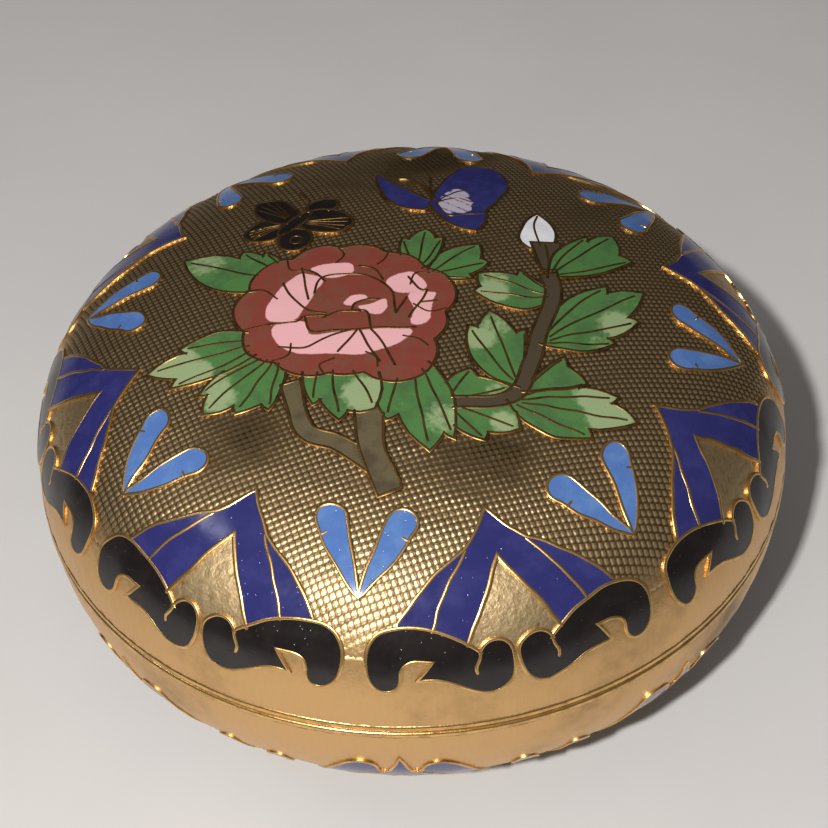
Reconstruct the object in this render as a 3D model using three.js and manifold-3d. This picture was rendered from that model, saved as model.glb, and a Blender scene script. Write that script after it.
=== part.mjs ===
// Round covered box in cloisonne enamel: a domed lid that rests on a matching bowl.
// Both are gilt copper shells. Raised enamel cells, each inside its gold wires, stand
// on the shells: a ring of lappets, scroll feet and drops, and a spray with a peony,
// leaves, a branch, a bud and two butterflies on the top of the lid.
// Millimetres, +Z up. The origin is the centre of the foot ring's underside.

import * as THREE from 'three';
import Module from 'manifold-3d';

const wasm = await Module();
wasm.setup();

// ---------------------------------------------------------------- driving dimensions

const RIM_RADIUS = 44; // polished rims of lid and bowl, where they meet
const SEAM_HEIGHT = 22.5; // middle of the seam above the table
const SEAM_GAP = 0.3; // between the lid's edge and the bowl's ledge
const RIM_HEIGHT = 0.8; // polished band on each side of the seam
const RIM_STEP = 0.25; // the band stands proud of the ground by this much

const GROUND_RADIUS = RIM_RADIUS - RIM_STEP;
const LID_RISE = 21.5; // seam to the lid's crown
const BOWL_DEPTH = 23.7; // seam to where the bowl's curve would close
const CURVE = 2.55; // exponent of the superellipse that both profiles follow

const WALL = 1.3; // copper with its counter-enamel
const COLLAR_RADIUS = 41.5; // upright collar of the bowl, inside the lid
const COLLAR_WALL = 0.9;
const COLLAR_RISE = 2.3;
const LID_MOUTH_RADIUS = 42.3;

const FOOT_RADIUS = 27; // foot ring, outside
const FOOT_WIDTH = 2.4;
const FLOOR_RECESS = 1.2; // the underside lies this far above the foot's edge
const FLOOR_THICKNESS = 1.3;

const CELL_GAP = 0.35; // between the shell and the underside of a cell
const CELL_THICKNESS = 0.4;
const WIRE = 0.38; // gold wire around each field of enamel
const NEIGHBOUR_GAP = 0.3; // between two cells that meet

const REPEATS = 8; // lappets around the box
const STEP = (2 * Math.PI) / REPEATS;
const AROUND = 30; // facets around the box
const SAG = 0.2; // how far a cell's facets may stray from the curve of the ground

const COLOURS = {
  gilt: { color: '#c9a15c', roughness: 0.3, metalness: 1 },
  cobalt: { color: '#262a78', roughness: 0.15, metalness: 0 },
  black: { color: '#1f1b1a', roughness: 0.15, metalness: 0 },
  sky: { color: '#3f6fb4', roughness: 0.15, metalness: 0 },
  red: { color: '#7d3a30', roughness: 0.18, metalness: 0 },
  green: { color: '#3f7a3c', roughness: 0.18, metalness: 0 },
  brown: { color: '#57473a', roughness: 0.2, metalness: 0 },
  white: { color: '#dcdce8', roughness: 0.15, metalness: 0 },
};

// ------------------------------------------------------------------ the curved ground

/** Half of the box's outside: a superellipse turned about Z, measured by its arc from the seam. */
class Ground {
  constructor(rise, sense) {
    this.rise = rise;
    this.sense = sense; // 1 for the lid, which rises from the seam, -1 for the bowl
    const steps = 400;
    this.table = [{ arc: 0, ...this.profile(0) }];
    for (let i = 1; i <= steps; i++) {
      const last = this.table[i - 1];
      const next = this.profile((i / steps) * (Math.PI / 2));
      this.table.push({ arc: last.arc + Math.hypot(next.r - last.r, next.z - last.z), ...next });
    }
  }

  profile(angle) {
    const power = 2 / CURVE;
    return {
      r: GROUND_RADIUS * Math.abs(Math.cos(angle)) ** power,
      z: SEAM_HEIGHT + this.sense * this.rise * Math.abs(Math.sin(angle)) ** power,
    };
  }

  /** Radius and height at an arc length from the seam. */
  atArc(arc) {
    const above = this.table.findIndex((row) => row.arc >= arc);
    const i = above < 1 ? (above < 0 ? this.table.length - 1 : 1) : above;
    const a = this.table[i - 1];
    const b = this.table[i];
    const t = (arc - a.arc) / (b.arc - a.arc);
    return { r: a.r + t * (b.r - a.r), z: a.z + t * (b.z - a.z) };
  }

  /** Radius and height at a radius. */
  atRadius(r) {
    const part = Math.max(0, 1 - (r / GROUND_RADIUS) ** CURVE);
    return { r, z: SEAM_HEIGHT + this.sense * this.rise * part ** (1 / CURVE) };
  }

  /** The point lifted off the ground along its normal. */
  lifted({ r, z }, azimuth, lift) {
    const height = Math.abs(z - SEAM_HEIGHT);
    const slopeR = (r / GROUND_RADIUS) ** (CURVE - 1) / GROUND_RADIUS;
    const slopeZ = (this.sense * (height / this.rise) ** (CURVE - 1)) / this.rise;
    const length = Math.hypot(slopeR, slopeZ);
    const radius = r + (lift * slopeR) / length;
    return new THREE.Vector3(
      radius * Math.cos(azimuth),
      radius * Math.sin(azimuth),
      z + (lift * slopeZ) / length,
    );
  }
}

const lidGround = new Ground(LID_RISE, 1);
const bowlGround = new Ground(BOWL_DEPTH, -1);

/** Lays a flat drawing on a ring: x runs along it, y up the slope, (0, 0) at a lappet's tip. */
function ringPlace(ground, tipArc, azimuth, scale) {
  return (x, y, lift) => {
    const place = ground.atArc(tipArc + ground.sense * y * scale);
    return ground.lifted(place, azimuth + (x * scale) / place.r, lift);
  };
}

/** Lays a flat drawing on the crown of the lid, seen from above. */
function crownPlace(x, y, lift) {
  return lidGround.lifted(lidGround.atRadius(Math.hypot(x, y)), Math.atan2(y, x), lift);
}

// ------------------------------------------------------------------- turned copper

/** Profile points of a superellipse from its crown to a height above its seam. */
function curvePoints(radius, rise, sense, base, fromAngle, toAngle, steps) {
  const power = 2 / CURVE;
  const points = [];
  for (let i = 0; i <= steps; i++) {
    const angle = fromAngle + ((toAngle - fromAngle) * i) / steps;
    const r = radius * Math.max(0, Math.cos(angle)) ** power;
    points.push(new THREE.Vector2(r, base + sense * rise * Math.max(0, Math.sin(angle)) ** power));
  }
  return points;
}

/** The angle at which a superellipse has a given share of its rise. */
const angleAtRise = (share) => Math.asin(share ** (CURVE / 2));
/** The angle at which a superellipse has a given share of its radius. */
const angleAtRadius = (share) => Math.acos(share ** (CURVE / 2));

function turned(profile) {
  return new THREE.LatheGeometry(profile, AROUND);
}

function lidGeometry() {
  const edge = SEAM_HEIGHT + SEAM_GAP / 2;
  const bandTop = edge + RIM_HEIGHT;
  const crown = Math.PI / 2;
  const low = angleAtRise((bandTop - SEAM_HEIGHT) / LID_RISE);
  const outside = curvePoints(GROUND_RADIUS, LID_RISE, 1, SEAM_HEIGHT, crown, low, 8);
  outside[0].x = 0;
  const innerRise = LID_RISE - WALL - SEAM_GAP / 2;
  const inside = curvePoints(LID_MOUTH_RADIUS, innerRise, 1, edge, 0, crown, 6);
  inside[inside.length - 1].x = 0;
  const band = [new THREE.Vector2(RIM_RADIUS, bandTop), new THREE.Vector2(RIM_RADIUS, edge)];
  return turned([...outside, ...band, ...inside].reverse());
}

function bowlGeometry() {
  const ledge = SEAM_HEIGHT - SEAM_GAP / 2;
  const bandBottom = ledge - RIM_HEIGHT;
  const collarTop = SEAM_HEIGHT + COLLAR_RISE;
  const innerRadius = COLLAR_RADIUS - COLLAR_WALL;
  const floorTop = FLOOR_RECESS + FLOOR_THICKNESS;
  const innerDepth = SEAM_HEIGHT - floorTop;
  const point = (r, z) => new THREE.Vector2(r, z);
  const underside = [
    point(0, FLOOR_RECESS),
    point(FOOT_RADIUS - FOOT_WIDTH, FLOOR_RECESS),
    point(FOOT_RADIUS - FOOT_WIDTH, 0),
    point(FOOT_RADIUS - 0.3, 0),
    point(FOOT_RADIUS, 0.4),
  ];
  const outside = curvePoints(
    GROUND_RADIUS,
    BOWL_DEPTH,
    -1,
    SEAM_HEIGHT,
    angleAtRadius(FOOT_RADIUS / GROUND_RADIUS),
    angleAtRise((SEAM_HEIGHT - bandBottom) / BOWL_DEPTH),
    5,
  );
  const rim = [
    point(RIM_RADIUS, bandBottom),
    point(RIM_RADIUS, ledge),
    point(COLLAR_RADIUS, ledge),
    point(COLLAR_RADIUS, collarTop),
    point(innerRadius, collarTop),
  ];
  const inside = curvePoints(innerRadius, innerDepth, -1, SEAM_HEIGHT, 0, Math.PI / 2, 5);
  inside[inside.length - 1].x = 0;
  return turned([...underside, ...outside, ...rim, ...inside]);
}

// ------------------------------------------------------- flat drawings of the enamel

const point2 = (x, y) => new THREE.Vector2(x, y);
const polar = (length, angle) => point2(length * Math.cos(angle), length * Math.sin(angle));
const degrees = THREE.MathUtils.degToRad;

/** Points of a path drawn by a function, without doubled points. */
function drawn(draw, divisions) {
  const path = new THREE.Path();
  draw(path);
  const points = path.getPoints(divisions);
  return points.filter((p, i) => p.distanceTo(points[(i + 1) % points.length]) > 0.05);
}

const mirrored = (points) => points.map((p) => point2(-p.x, p.y)).reverse();

/** The outline with every edge moved outwards by a distance; outlines run anticlockwise. */
function grown(points, distance) {
  const count = points.length;
  const area = THREE.ShapeUtils.area(points);
  const ring = area > 0 ? points : [...points].reverse();
  const longestMitre = 1.6;
  return ring.map((p, i) => {
    const before = p.clone().sub(ring[(i + count - 1) % count]).normalize();
    const after = ring[(i + 1) % count].clone().sub(p).normalize();
    const normal = point2(before.y + after.y, -before.x - after.x).normalize();
    const cosine = Math.max(normal.x * before.y - normal.y * before.x, 1 / longestMitre);
    return p.clone().addScaledVector(normal, distance / cosine);
  });
}

/** A lappet: a cobalt strip and a wide band on each side of a triangle; side() draws its right edge. */
const LAPPET = {
  side(path) {
    path.quadraticCurveTo(1.9, -2.7, 3.2, -3.8);
    path.quadraticCurveTo(7.6, -6.2, 11, -10.5);
  },
  bandFoot: [8, -11],
  innerFoot: [4.9, -12.3],
  innerTip: [0, -4.3],
};

/** The bowl's lappet: the same, with a slender tip between two round lobes. */
const LOBED_LAPPET = {
  ...LAPPET,
  side(path) {
    path.quadraticCurveTo(0.6, -2.4, 1, -3.6);
    path.bezierCurveTo(1.25, -4.9, 2.9, -4.9, 3, -3.4);
    path.bezierCurveTo(3.1, -2, 3.8, -1.3, 5, -1.3);
    path.bezierCurveTo(7.8, -1.3, 8.8, -5.2, 11, -10.5);
  },
  innerTip: [0, -6.6],
};

function lappetOutline({ side, bandFoot, innerFoot }) {
  const half = drawn((path) => {
    path.moveTo(0, 0);
    side(path);
    path.lineTo(...bandFoot);
  }, 2);
  return [...half, point2(...innerFoot), point2(-innerFoot[0], innerFoot[1]), ...mirrored(half)]
    .filter((p, i, all) => p.distanceTo(all[(i + 1) % all.length]) > 0.05);
}

function lappetWindow({ innerTip, innerFoot }) {
  const below = innerFoot[1] - 2; // the window is open at the bottom
  return [point2(...innerTip), point2(-5.9, below), point2(5.9, below)];
}

// The rings of lid and bowl: the azimuth of the first lappet, the arc from the seam to the
// lappets' tips, the size of the drawing, and how far the drops lie below the tips.
const LID_RING = { lappet: LAPPET, phase: degrees(-76.5), tipArc: 23.5, scale: 1, dropFall: 0 };
const BOWL_RING = {
  lappet: LOBED_LAPPET,
  phase: degrees(-93.3),
  tipArc: 5.1,
  scale: 0.84,
  dropFall: 6.2,
};

/** One black scroll foot, to the right of a lappet's axis: a round head, a body and a drooping end. */
const SCROLL_HEAD = { x: 2.1, y: -14.6, radius: 1.65 };

function scrollOutline() {
  const { x, y, radius } = SCROLL_HEAD;
  return drawn((path) => {
    path.moveTo(x + radius, y + 0.5);
    path.bezierCurveTo(5.6, -12.1, 8.6, -11, 10.8, -11);
    path.bezierCurveTo(13.9, -11, 15.1, -13, 15.1, -15);
    path.bezierCurveTo(15.1, -18.2, 12.2, -18.2, 12.1, -15.9);
    path.quadraticCurveTo(12.1, -14.3, 10.2, -14.1);
    path.lineTo(8.3, -14.2);
    path.lineTo(9.9, -16.2);
    path.bezierCurveTo(6.2, -15.9, 5.6, -18.3, 2.9, -18.3);
    path.quadraticCurveTo(0.5, -18.1, x - radius, y);
    path.absarc(x, y, radius, Math.PI, degrees(18), true);
  }, 2);
}

/** The strip of wire and plate that joins the two heads of a pair. */
function scrollBridge() {
  const { x, y, radius } = SCROLL_HEAD;
  const half = x - radius + WIRE;
  return [point2(-half, y - 2.4), point2(half, y - 2.4), point2(half, y + 0.6), point2(-half, y + 0.6)];
}

/** One drop of a pair that meets below the tips, to the right of the axis between two lappets. */
const DROP = { headX: 3.6, headY: -0.3, radius: 1.45, tailX: 0.15, tailY: -7.5 };

function dropOutline() {
  const { headX, headY, radius, tailX, tailY } = DROP;
  const lean = Math.atan2(headX - tailX, headY - tailY);
  return drawn((path) => {
    path.moveTo(tailX, tailY);
    path.quadraticCurveTo(tailX + 2.6, tailY + 2.4, headX + 1.01, headY - 1.04);
    path.absarc(headX, headY, radius, degrees(-20) - lean, Math.PI - lean, false);
  }, 2);
}

/**
 * A leaf: from its foot along a rounded side to the first tip, by notches from tip to tip, and
 * back along the other side. The tips run anticlockwise; belly rounds the two sides.
 */
function leafOutline({ foot, tips, belly }) {
  const notch = 0.91; // a notch's distance from the foot, as a share of the shorter tip's
  const lean = 0.75; // a notch lies this far from the longer tip towards the shorter one
  const base = point2(...foot);
  const arms = tips.map((tip) => point2(...tip).sub(base));
  const side = (arm, bulge) => {
    const out = point2(arm.y, -arm.x).multiplyScalar(2 * bulge);
    const at = (t) => arm.clone().multiplyScalar(t).addScaledVector(out, t * (1 - t) * 2);
    return [at(0.35), at(0.7)];
  };
  const points = [point2(0, 0), ...side(arms[0], belly[0])];
  arms.forEach((arm, i) => {
    points.push(arm);
    const next = arms[i + 1];
    if (!next) return;
    const t = arm.length() < next.length() ? 1 - lean : lean;
    const inner = notch * Math.min(arm.length(), next.length());
    points.push(arm.clone().lerp(next, t).setLength(inner));
  });
  points.push(...side(arms[arms.length - 1], -belly[1]).reverse());
  return points.map((p) => p.add(base));
}

const LEAVES = {
  leaf_upper_left: [
    { foot: [-13, 2.6], tips: [[-15.8, 8.4], [-18.5, 9.3], [-25.4, 9.9]], belly: [0.1, 0.26] },
  ],
  leaves_lower_left: [
    { foot: [-15, -7], tips: [[-24.8, -5.9], [-28.3, -8.4], [-25.4, -11.1]], belly: [0.2, 0.12] },
    {
      foot: [-14, -8.5],
      tips: [[-22.3, -13], [-21.8, -15.6], [-18.2, -16.2], [-15, -16.4]],
      belly: [0.12, 0.14],
    },
  ],
  leaves_below: [
    { foot: [-8.6, -7.5], tips: [[-10.2, -16.2], [-7.5, -18.6], [-3.8, -17.6]], belly: [0.2, 0.24] },
    { foot: [0, -10], tips: [[-2.4, -19], [1.7, -23], [4.2, -21.6]], belly: [0.26, 0.16] },
  ],
  leaves_upper_right: [
    { foot: [1.2, 3.5], tips: [[4.3, 9.2], [2.4, 10.8], [0, 9.1]], belly: [0.14, 0.16] },
    { foot: [2.4, 2.6], tips: [[7.2, 1.8], [9.1, 4.6], [8.4, 7.6]], belly: [0.1, 0.2] },
  ],
  leaves_right: [
    { foot: [16.6, -1.4], tips: [[12.8, 2.8], [8.3, 2.5], [7.8, -0.4]], belly: [0.06, 0.26] },
    { foot: [16, 2.2], tips: [[25.8, 6.6], [24.1, 11.2], [20.9, 10.2]], belly: [0.1, 0.12] },
    {
      foot: [14.2, -8.6],
      tips: [[22.2, -8], [25.3, -4.2], [26.4, 0.7], [22.2, 1.1]],
      belly: [0.14, 0.12],
    },
    { foot: [11.4, -15], tips: [[12.6, -7], [9, -4], [6.8, -6.2]], belly: [0.04, 0.22] },
    { foot: [12, -15.6], tips: [[18.6, -14.2], [16.6, -11]], belly: [0.04, 0.06] },
    {
      foot: [10.4, -17],
      tips: [[18.4, -20.9], [23.5, -18.5], [21.6, -15.7], [18, -14.2]],
      belly: [0.22, 0.06],
    },
    {
      foot: [3.9, -17.3],
      tips: [[7.4, -21.8], [11, -20.4], [10.4, -15.2], [6.4, -12.9]],
      belly: [0.22, 0.24],
    },
  ],
};

/** A stroke of a given width along a few points, with square ends. */
function strokeOutline(points, widths) {
  const left = [];
  const right = [];
  points.forEach(([x, y], i) => {
    const from = points[Math.max(0, i - 1)];
    const to = points[Math.min(points.length - 1, i + 1)];
    const across = point2(from[1] - to[1], to[0] - from[0]).normalize();
    left.push(point2(x, y).addScaledVector(across, widths[i] / 2));
    right.unshift(point2(x, y).addScaledVector(across, -widths[i] / 2));
  });
  return [...left, ...right];
}

const leafStem = () => strokeOutline(
  [[16, 2.6], [16.3, -1], [14.1, -7.6], [12.9, -12], [10.4, -16.6], [3.9, -17.3]],
  [1.6, 1.4, 1.3, 1.3, 1.2, 1],
);
const trunk = () => strokeOutline([[-4.3, -17], [-4.2, -22], [-2.5, -27.5]], [2.8, 2.3, 2.1]);
const sideBranch = () => strokeOutline(
  [[-12.6, -13.4], [-11, -19.7], [-7.6, -21.6], [-4, -24.6]],
  [1.7, 1.6, 1.6, 1.6],
);

const PEONY = { x: -6.9, y: -2.3, core: 9.4, petal: 4.2, sides: 44 };
const PETAL_REACH = [12.5, 11.1, 10.8, 11.2, 12, 12.2, 11.8, 11.1, 10.4, 13.6, 11.5];
const PETAL_START = degrees(12);

/** The flower's scalloped edge: at each angle, the farthest of its core and its round petals. */
function peonyOutline() {
  const { x, y, core, petal, sides } = PEONY;
  return Array.from({ length: sides }, (_, side) => {
    const angle = (side / sides) * 2 * Math.PI;
    const reaches = PETAL_REACH.map((reach, i) => {
      const off = angle - PETAL_START - (i * 2 * Math.PI) / PETAL_REACH.length;
      const across = (reach - petal) * Math.sin(off);
      const along = (reach - petal) * Math.cos(off);
      return Math.abs(across) < petal ? along + Math.sqrt(petal ** 2 - across ** 2) : 0;
    });
    return polar(Math.max(core, ...reaches), angle).add(point2(x, y));
  });
}

function ellipseOutline({ x, y, length, width, heading }) {
  const sides = 9;
  return Array.from({ length: sides }, (_, i) => {
    const angle = (i / sides) * 2 * Math.PI;
    const p = point2((length / 2) * Math.cos(angle), (width / 2) * Math.sin(angle));
    return p.rotateAround(point2(0, 0), degrees(heading)).add(point2(x, y));
  });
}

function budOutlines() {
  const petals = drawn((path) => {
    path.moveTo(15.6, 14.3);
    path.bezierCurveTo(13.3, 12, 12.7, 9, 14.4, 7.6);
    path.lineTo(16.3, 7.6);
    path.bezierCurveTo(18, 9.4, 17.4, 12.2, 15.6, 14.3);
  }, 4);
  const calyx = strokeOutline([[16.2, 8.4], [16.2, 3.6]], [3, 1.5]);
  return [petals, calyx];
}

/** Wings as ellipses about a narrow body. */
const DARK_BUTTERFLY = [
  { x: -12.8, y: 14.2, length: 5.4, width: 1.3, heading: 52 }, // body
  { x: -15, y: 17.3, length: 6.6, width: 3.8, heading: 128 },
  { x: -16, y: 13.3, length: 5, width: 4, heading: 200 },
  { x: -9.2, y: 14, length: 6.4, width: 4.4, heading: -22 },
  { x: -12.6, y: 10.8, length: 4, width: 3.6, heading: 270 },
  { x: -9.6, y: 17.4, length: 3.6, width: 2.6, heading: 30 },
];

function blueButterflyOutlines() {
  const leftWing = drawn((path) => {
    path.moveTo(3.6, 16.8);
    path.quadraticCurveTo(-0.6, 20.2, -2.9, 24);
    path.bezierCurveTo(-3, 20, -1.8, 15.8, 2.4, 15.4);
  }, 3);
  const rightWing = drawn((path) => {
    path.moveTo(3.2, 16.6);
    path.bezierCurveTo(4.4, 13.4, 4.8, 11.8, 8.2, 10.8);
    path.bezierCurveTo(9.6, 12.4, 9.2, 14.4, 10, 15.8);
    path.bezierCurveTo(11.4, 17.6, 12.6, 20, 12.5, 22.4);
    path.bezierCurveTo(12.2, 27, 7.4, 26.8, 6.2, 23.8);
    path.quadraticCurveTo(4.4, 21.4, 3.8, 17.6);
  }, 3);
  return [leftWing, rightWing];
}

// ------------------------------------------------------------------- solids from them

/** Turns the edges inside a flat mesh until its triangles are as full as its points allow. */
function filledOut(points, triangles) {
  const faces = [...triangles];
  const corner = (tip, a, b) => {
    const [p, q] = [points[a].clone().sub(points[tip]), points[b].clone().sub(points[tip])];
    return Math.atan2(p.cross(q), p.dot(q));
  };
  for (let turned = true; turned;) {
    turned = false;
    const facing = new Map();
    faces.forEach((f, t) => f.forEach((a, k) => facing.set(`${a},${f[(k + 1) % 3]}`, [t, f[(k + 2) % 3]])));
    const done = new Set();
    for (const [edge, [t, c]] of facing) {
      const [a, b] = edge.split(',').map(Number);
      const [u, d] = facing.get(`${b},${a}`) ?? [];
      if (u === undefined || done.has(t) || done.has(u)) continue;
      if (corner(c, a, b) + corner(d, b, a) < Math.PI + 1e-6) continue;
      if (corner(a, d, c) <= 0 || corner(b, c, d) <= 0) continue; // the four corners must be convex
      faces[t] = [a, d, c];
      faces[u] = [d, b, c];
      done.add(t).add(u);
      turned = true;
    }
  }
  return faces;
}

/** A flat plate as points and triangles; the first loop is its outline, the others are holes. */
function prism(loops, bottom, top) {
  const points = loops.flat();
  const cap = filledOut(points, THREE.ShapeUtils.triangulateShape(loops[0], loops.slice(1)));
  const count = points.length;
  const faces = [...cap.map((f) => f.map((i) => i + count)), ...cap.map(([a, b, c]) => [a, c, b])];
  let first = 0;
  for (const loop of loops) {
    loop.forEach((_, i) => {
      const [a, b] = [first + i, first + ((i + 1) % loop.length)];
      faces.push([a, b, b + count], [a, b + count, a + count]);
    });
    first += loop.length;
  }
  const positions = [bottom, top].flatMap((z) => points.map((p) => [p.x, p.y, z]));
  return { positions, faces };
}

/** A flat plate with an outline, as a manifold solid. */
function plate(points, bottom = 0, top = CELL_THICKNESS) {
  const { positions, faces } = prism([points], bottom, top);
  return new wasm.Manifold(
    new wasm.Mesh({
      numProp: 3,
      vertProperties: new Float32Array(positions.flat()),
      triVerts: new Uint32Array(faces.flat()),
    }),
  );
}

/** A plate that is the union of outlines, each with its wire around it. */
function joined(outlines) {
  return outlines.map((points) => plate(grown(points, WIRE))).reduce((all, one) => all.add(one));
}

/** Cuts the outlines of neighbours out of a plate, so that a gap is left to them. */
function trimmed(solid, neighbours) {
  const clear = WIRE + NEIGHBOUR_GAP;
  return neighbours.reduce(
    (left, points) => left.subtract(plate(grown(points, clear), -1, CELL_THICKNESS + 1)),
    solid,
  );
}

/** The outlines of a plate's top face, each a closed loop without points in straight runs. */
function topLoops(solid) {
  const mesh = solid.getMesh();
  const vertex = (i) => point2(...mesh.vertProperties.slice(i * mesh.numProp, i * mesh.numProp + 2));
  const isTop = (i) => Math.abs(mesh.vertProperties[i * mesh.numProp + 2] - CELL_THICKNESS) < 1e-4;
  const halfEdges = new Map();
  for (let t = 0; t < mesh.numTri; t++) {
    const corners = [...mesh.triVerts.slice(3 * t, 3 * t + 3)];
    if (!corners.every(isTop)) continue;
    corners.forEach((a, k) => halfEdges.set(`${a},${corners[(k + 1) % 3]}`, [a, corners[(k + 1) % 3]]));
  }
  const border = [...halfEdges.values()].filter(([a, b]) => !halfEdges.has(`${b},${a}`));
  const next = new Map(border);
  const loops = [];
  while (next.size > 0) {
    const ids = [];
    for (let id = next.keys().next().value; next.has(id);) {
      ids.push(id);
      const following = next.get(id);
      next.delete(id);
      id = following;
    }
    loops.push(ids.map(vertex));
  }
  return loops.map(withoutStraightRuns);
}

/** Drops the points of a loop that lie close to the last one or to the line through them. */
function withoutStraightRuns(loop) {
  const closest = 0.35;
  const hair = 0.08;
  const kept = [...loop];
  for (let i = 0; i < kept.length && kept.length > 3;) {
    const from = kept[(i + kept.length - 1) % kept.length];
    const to = kept[(i + 1) % kept.length];
    const along = to.clone().sub(from);
    const off = kept[i].clone().sub(from);
    const distance = Math.abs(along.cross(off)) / Math.max(along.length(), 1e-6);
    if (distance < hair || off.length() < closest) kept.splice(i, 1);
    else i += 1;
  }
  return kept;
}

/** Halves the edges that would stray too far from the curved ground, worst first. */
function refined(positions, triangles, place) {
  const middleOf = (a, b) => [0, 1, 2].map((k) => (positions[a][k] + positions[b][k]) / 2);
  const sag = ([a, b]) => {
    const chord = place(...positions[a]).add(place(...positions[b])).multiplyScalar(0.5);
    return chord.distanceTo(place(...middleOf(a, b)));
  };
  const key = (a, b) => (a < b ? `${a},${b}` : `${b},${a}`);
  let faces = triangles;
  for (;;) {
    const middles = new Map();
    for (const [a, b, c] of faces) {
      const edges = [[a, b], [b, c], [c, a]].sort((p, q) => sag(q) - sag(p));
      const [from, to] = edges[0];
      if (sag(edges[0]) <= SAG || middles.has(key(from, to))) continue;
      middles.set(key(from, to), positions.length);
      positions.push(middleOf(from, to));
    }
    if (middles.size === 0) return faces;
    faces = faces.flatMap((face) => split(face, (p, q) => middles.get(key(p, q))));
  }
}

/** A triangle cut at the middles of its marked edges; an unmarked edge has none. */
function split([a, b, c], middle) {
  const [ab, bc, ca] = [middle(a, b), middle(b, c), middle(c, a)];
  const cuts = [ab, bc, ca].filter((m) => m !== undefined).length;
  if (cuts === 0) return [[a, b, c]];
  if (cuts === 3) return [[a, ab, ca], [ab, b, bc], [ca, bc, c], [ab, bc, ca]];
  if (ab === undefined) return split([b, c, a], middle); // turned until the first edge is cut
  if (cuts === 1) return [[a, ab, c], [ab, b, c]];
  if (bc === undefined) return split([c, a, b], middle); // the first two edges are cut
  return [[ab, b, bc], [a, ab, c], [ab, bc, c]];
}

/** Lays a flat manifold plate on the curved ground. */
function laid(solid, place) {
  const loops = topLoops(solid);
  const outer = loops.filter((loop) => THREE.ShapeUtils.area(loop) > 0);
  if (outer.length !== 1) throw new Error(`a plate has ${outer.length} outlines, not 1`);
  const holes = loops.filter((loop) => loop !== outer[0]);
  const { positions, faces: flat } = prism([outer[0], ...holes], 0, CELL_THICKNESS);
  const onGround = (x, y, w) => place(x, y, CELL_GAP + w);
  const faces = refined(positions, flat, onGround);
  const lifted = positions.flatMap((p) => onGround(...p).toArray());
  const geometry = new THREE.BufferGeometry();
  geometry.setAttribute('position', new THREE.Float32BufferAttribute(lifted, 3));
  geometry.setIndex(faces.flat());
  geometry.computeVertexNormals();
  return geometry;
}

// -------------------------------------------------------------------- the assembly

const box = new THREE.Group();

function addPart(name, geometry, colour) {
  const mesh = new THREE.Mesh(geometry, new THREE.MeshStandardMaterial(COLOURS[colour]));
  mesh.name = name;
  // Turned pieces are made about three.js's Y axis and stood up on Z.
  if (geometry.type === 'LatheGeometry') mesh.rotation.x = Math.PI / 2;
  box.add(mesh);
}

addPart('lid', lidGeometry(), 'gilt');
addPart('bowl', bowlGeometry(), 'gilt');

const scroll = scrollOutline();
const scrollPair = [scroll, mirrored(scroll)];
const scrollPlate = joined(scrollPair).add(plate(scrollBridge()));
const dropPlate = joined([dropOutline(), mirrored(dropOutline())]);

/** A lappet's plate with its window cut out, clear of the scroll feet. */
function lappetPlate(lappet) {
  const window = plate(grown(lappetWindow(lappet), -WIRE), -1, CELL_THICKNESS + 1);
  return trimmed(joined([lappetOutline(lappet)]).subtract(window), scrollPair);
}

function addRing(owner, ground, { lappet, tipArc, phase, scale, dropFall }) {
  const lappetSolid = lappetPlate(lappet);
  for (let i = 0; i < REPEATS; i++) {
    const on = ringPlace(ground, tipArc, phase + i * STEP, scale);
    const dropTip = tipArc - ground.sense * dropFall * scale;
    const between = ringPlace(ground, dropTip, phase + (i + 0.5) * STEP, scale);
    addPart(`${owner}_lappet_${i + 1}`, laid(lappetSolid, on), 'cobalt');
    addPart(`${owner}_scrolls_${i + 1}`, laid(scrollPlate, on), 'black');
    addPart(`${owner}_drops_${i + 1}`, laid(dropPlate, between), 'sky');
  }
}

addRing('lid', lidGround, LID_RING);
addRing('bowl', bowlGround, BOWL_RING);

function addSpray(name, solid, colour) {
  addPart(name, laid(solid, crownPlace), colour);
}

const peony = [peonyOutline()];
const branches = [trunk(), sideBranch()];
const leaves = Object.fromEntries(
  Object.entries(LEAVES).map(([name, rows]) => [name, rows.map(leafOutline)]),
);
leaves.leaves_right.push(leafStem());
const bud = budOutlines();

addSpray('peony', joined(peony), 'red');
for (const [name, outlines] of Object.entries(leaves)) {
  const neighbours = [...peony];
  if (name === 'leaves_below') neighbours.push(...leaves.leaves_lower_left);
  if (name === 'leaves_right') neighbours.push(...leaves.leaves_below, ...leaves.leaves_upper_right);
  addSpray(name, trimmed(joined(outlines), neighbours), 'green');
}
const behindBranch = [...peony, ...leaves.leaves_lower_left, ...leaves.leaves_below];
addSpray('branch', trimmed(joined(branches), behindBranch), 'brown');
addSpray('bud', trimmed(joined(bud), leaves.leaves_right), 'white');
addSpray('butterfly_dark', trimmed(joined(DARK_BUTTERFLY.map(ellipseOutline)), peony), 'black');
addSpray('butterfly_blue', joined(blueButterflyOutlines()), 'cobalt');

export default box;
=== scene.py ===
"""Cloisonne enamel box with a domed lid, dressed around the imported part.

Sizes are in millimetres, with +Z up and the origin under the middle of the foot ring.
They become metres where a mesh is made.
"""

import logging
import math
from dataclasses import dataclass, field
from enum import Enum
from typing import Callable, Optional

import bpy
import numpy as np
from mathutils import Matrix, Vector
from mathutils.geometry import delaunay_2d_cdt

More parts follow.
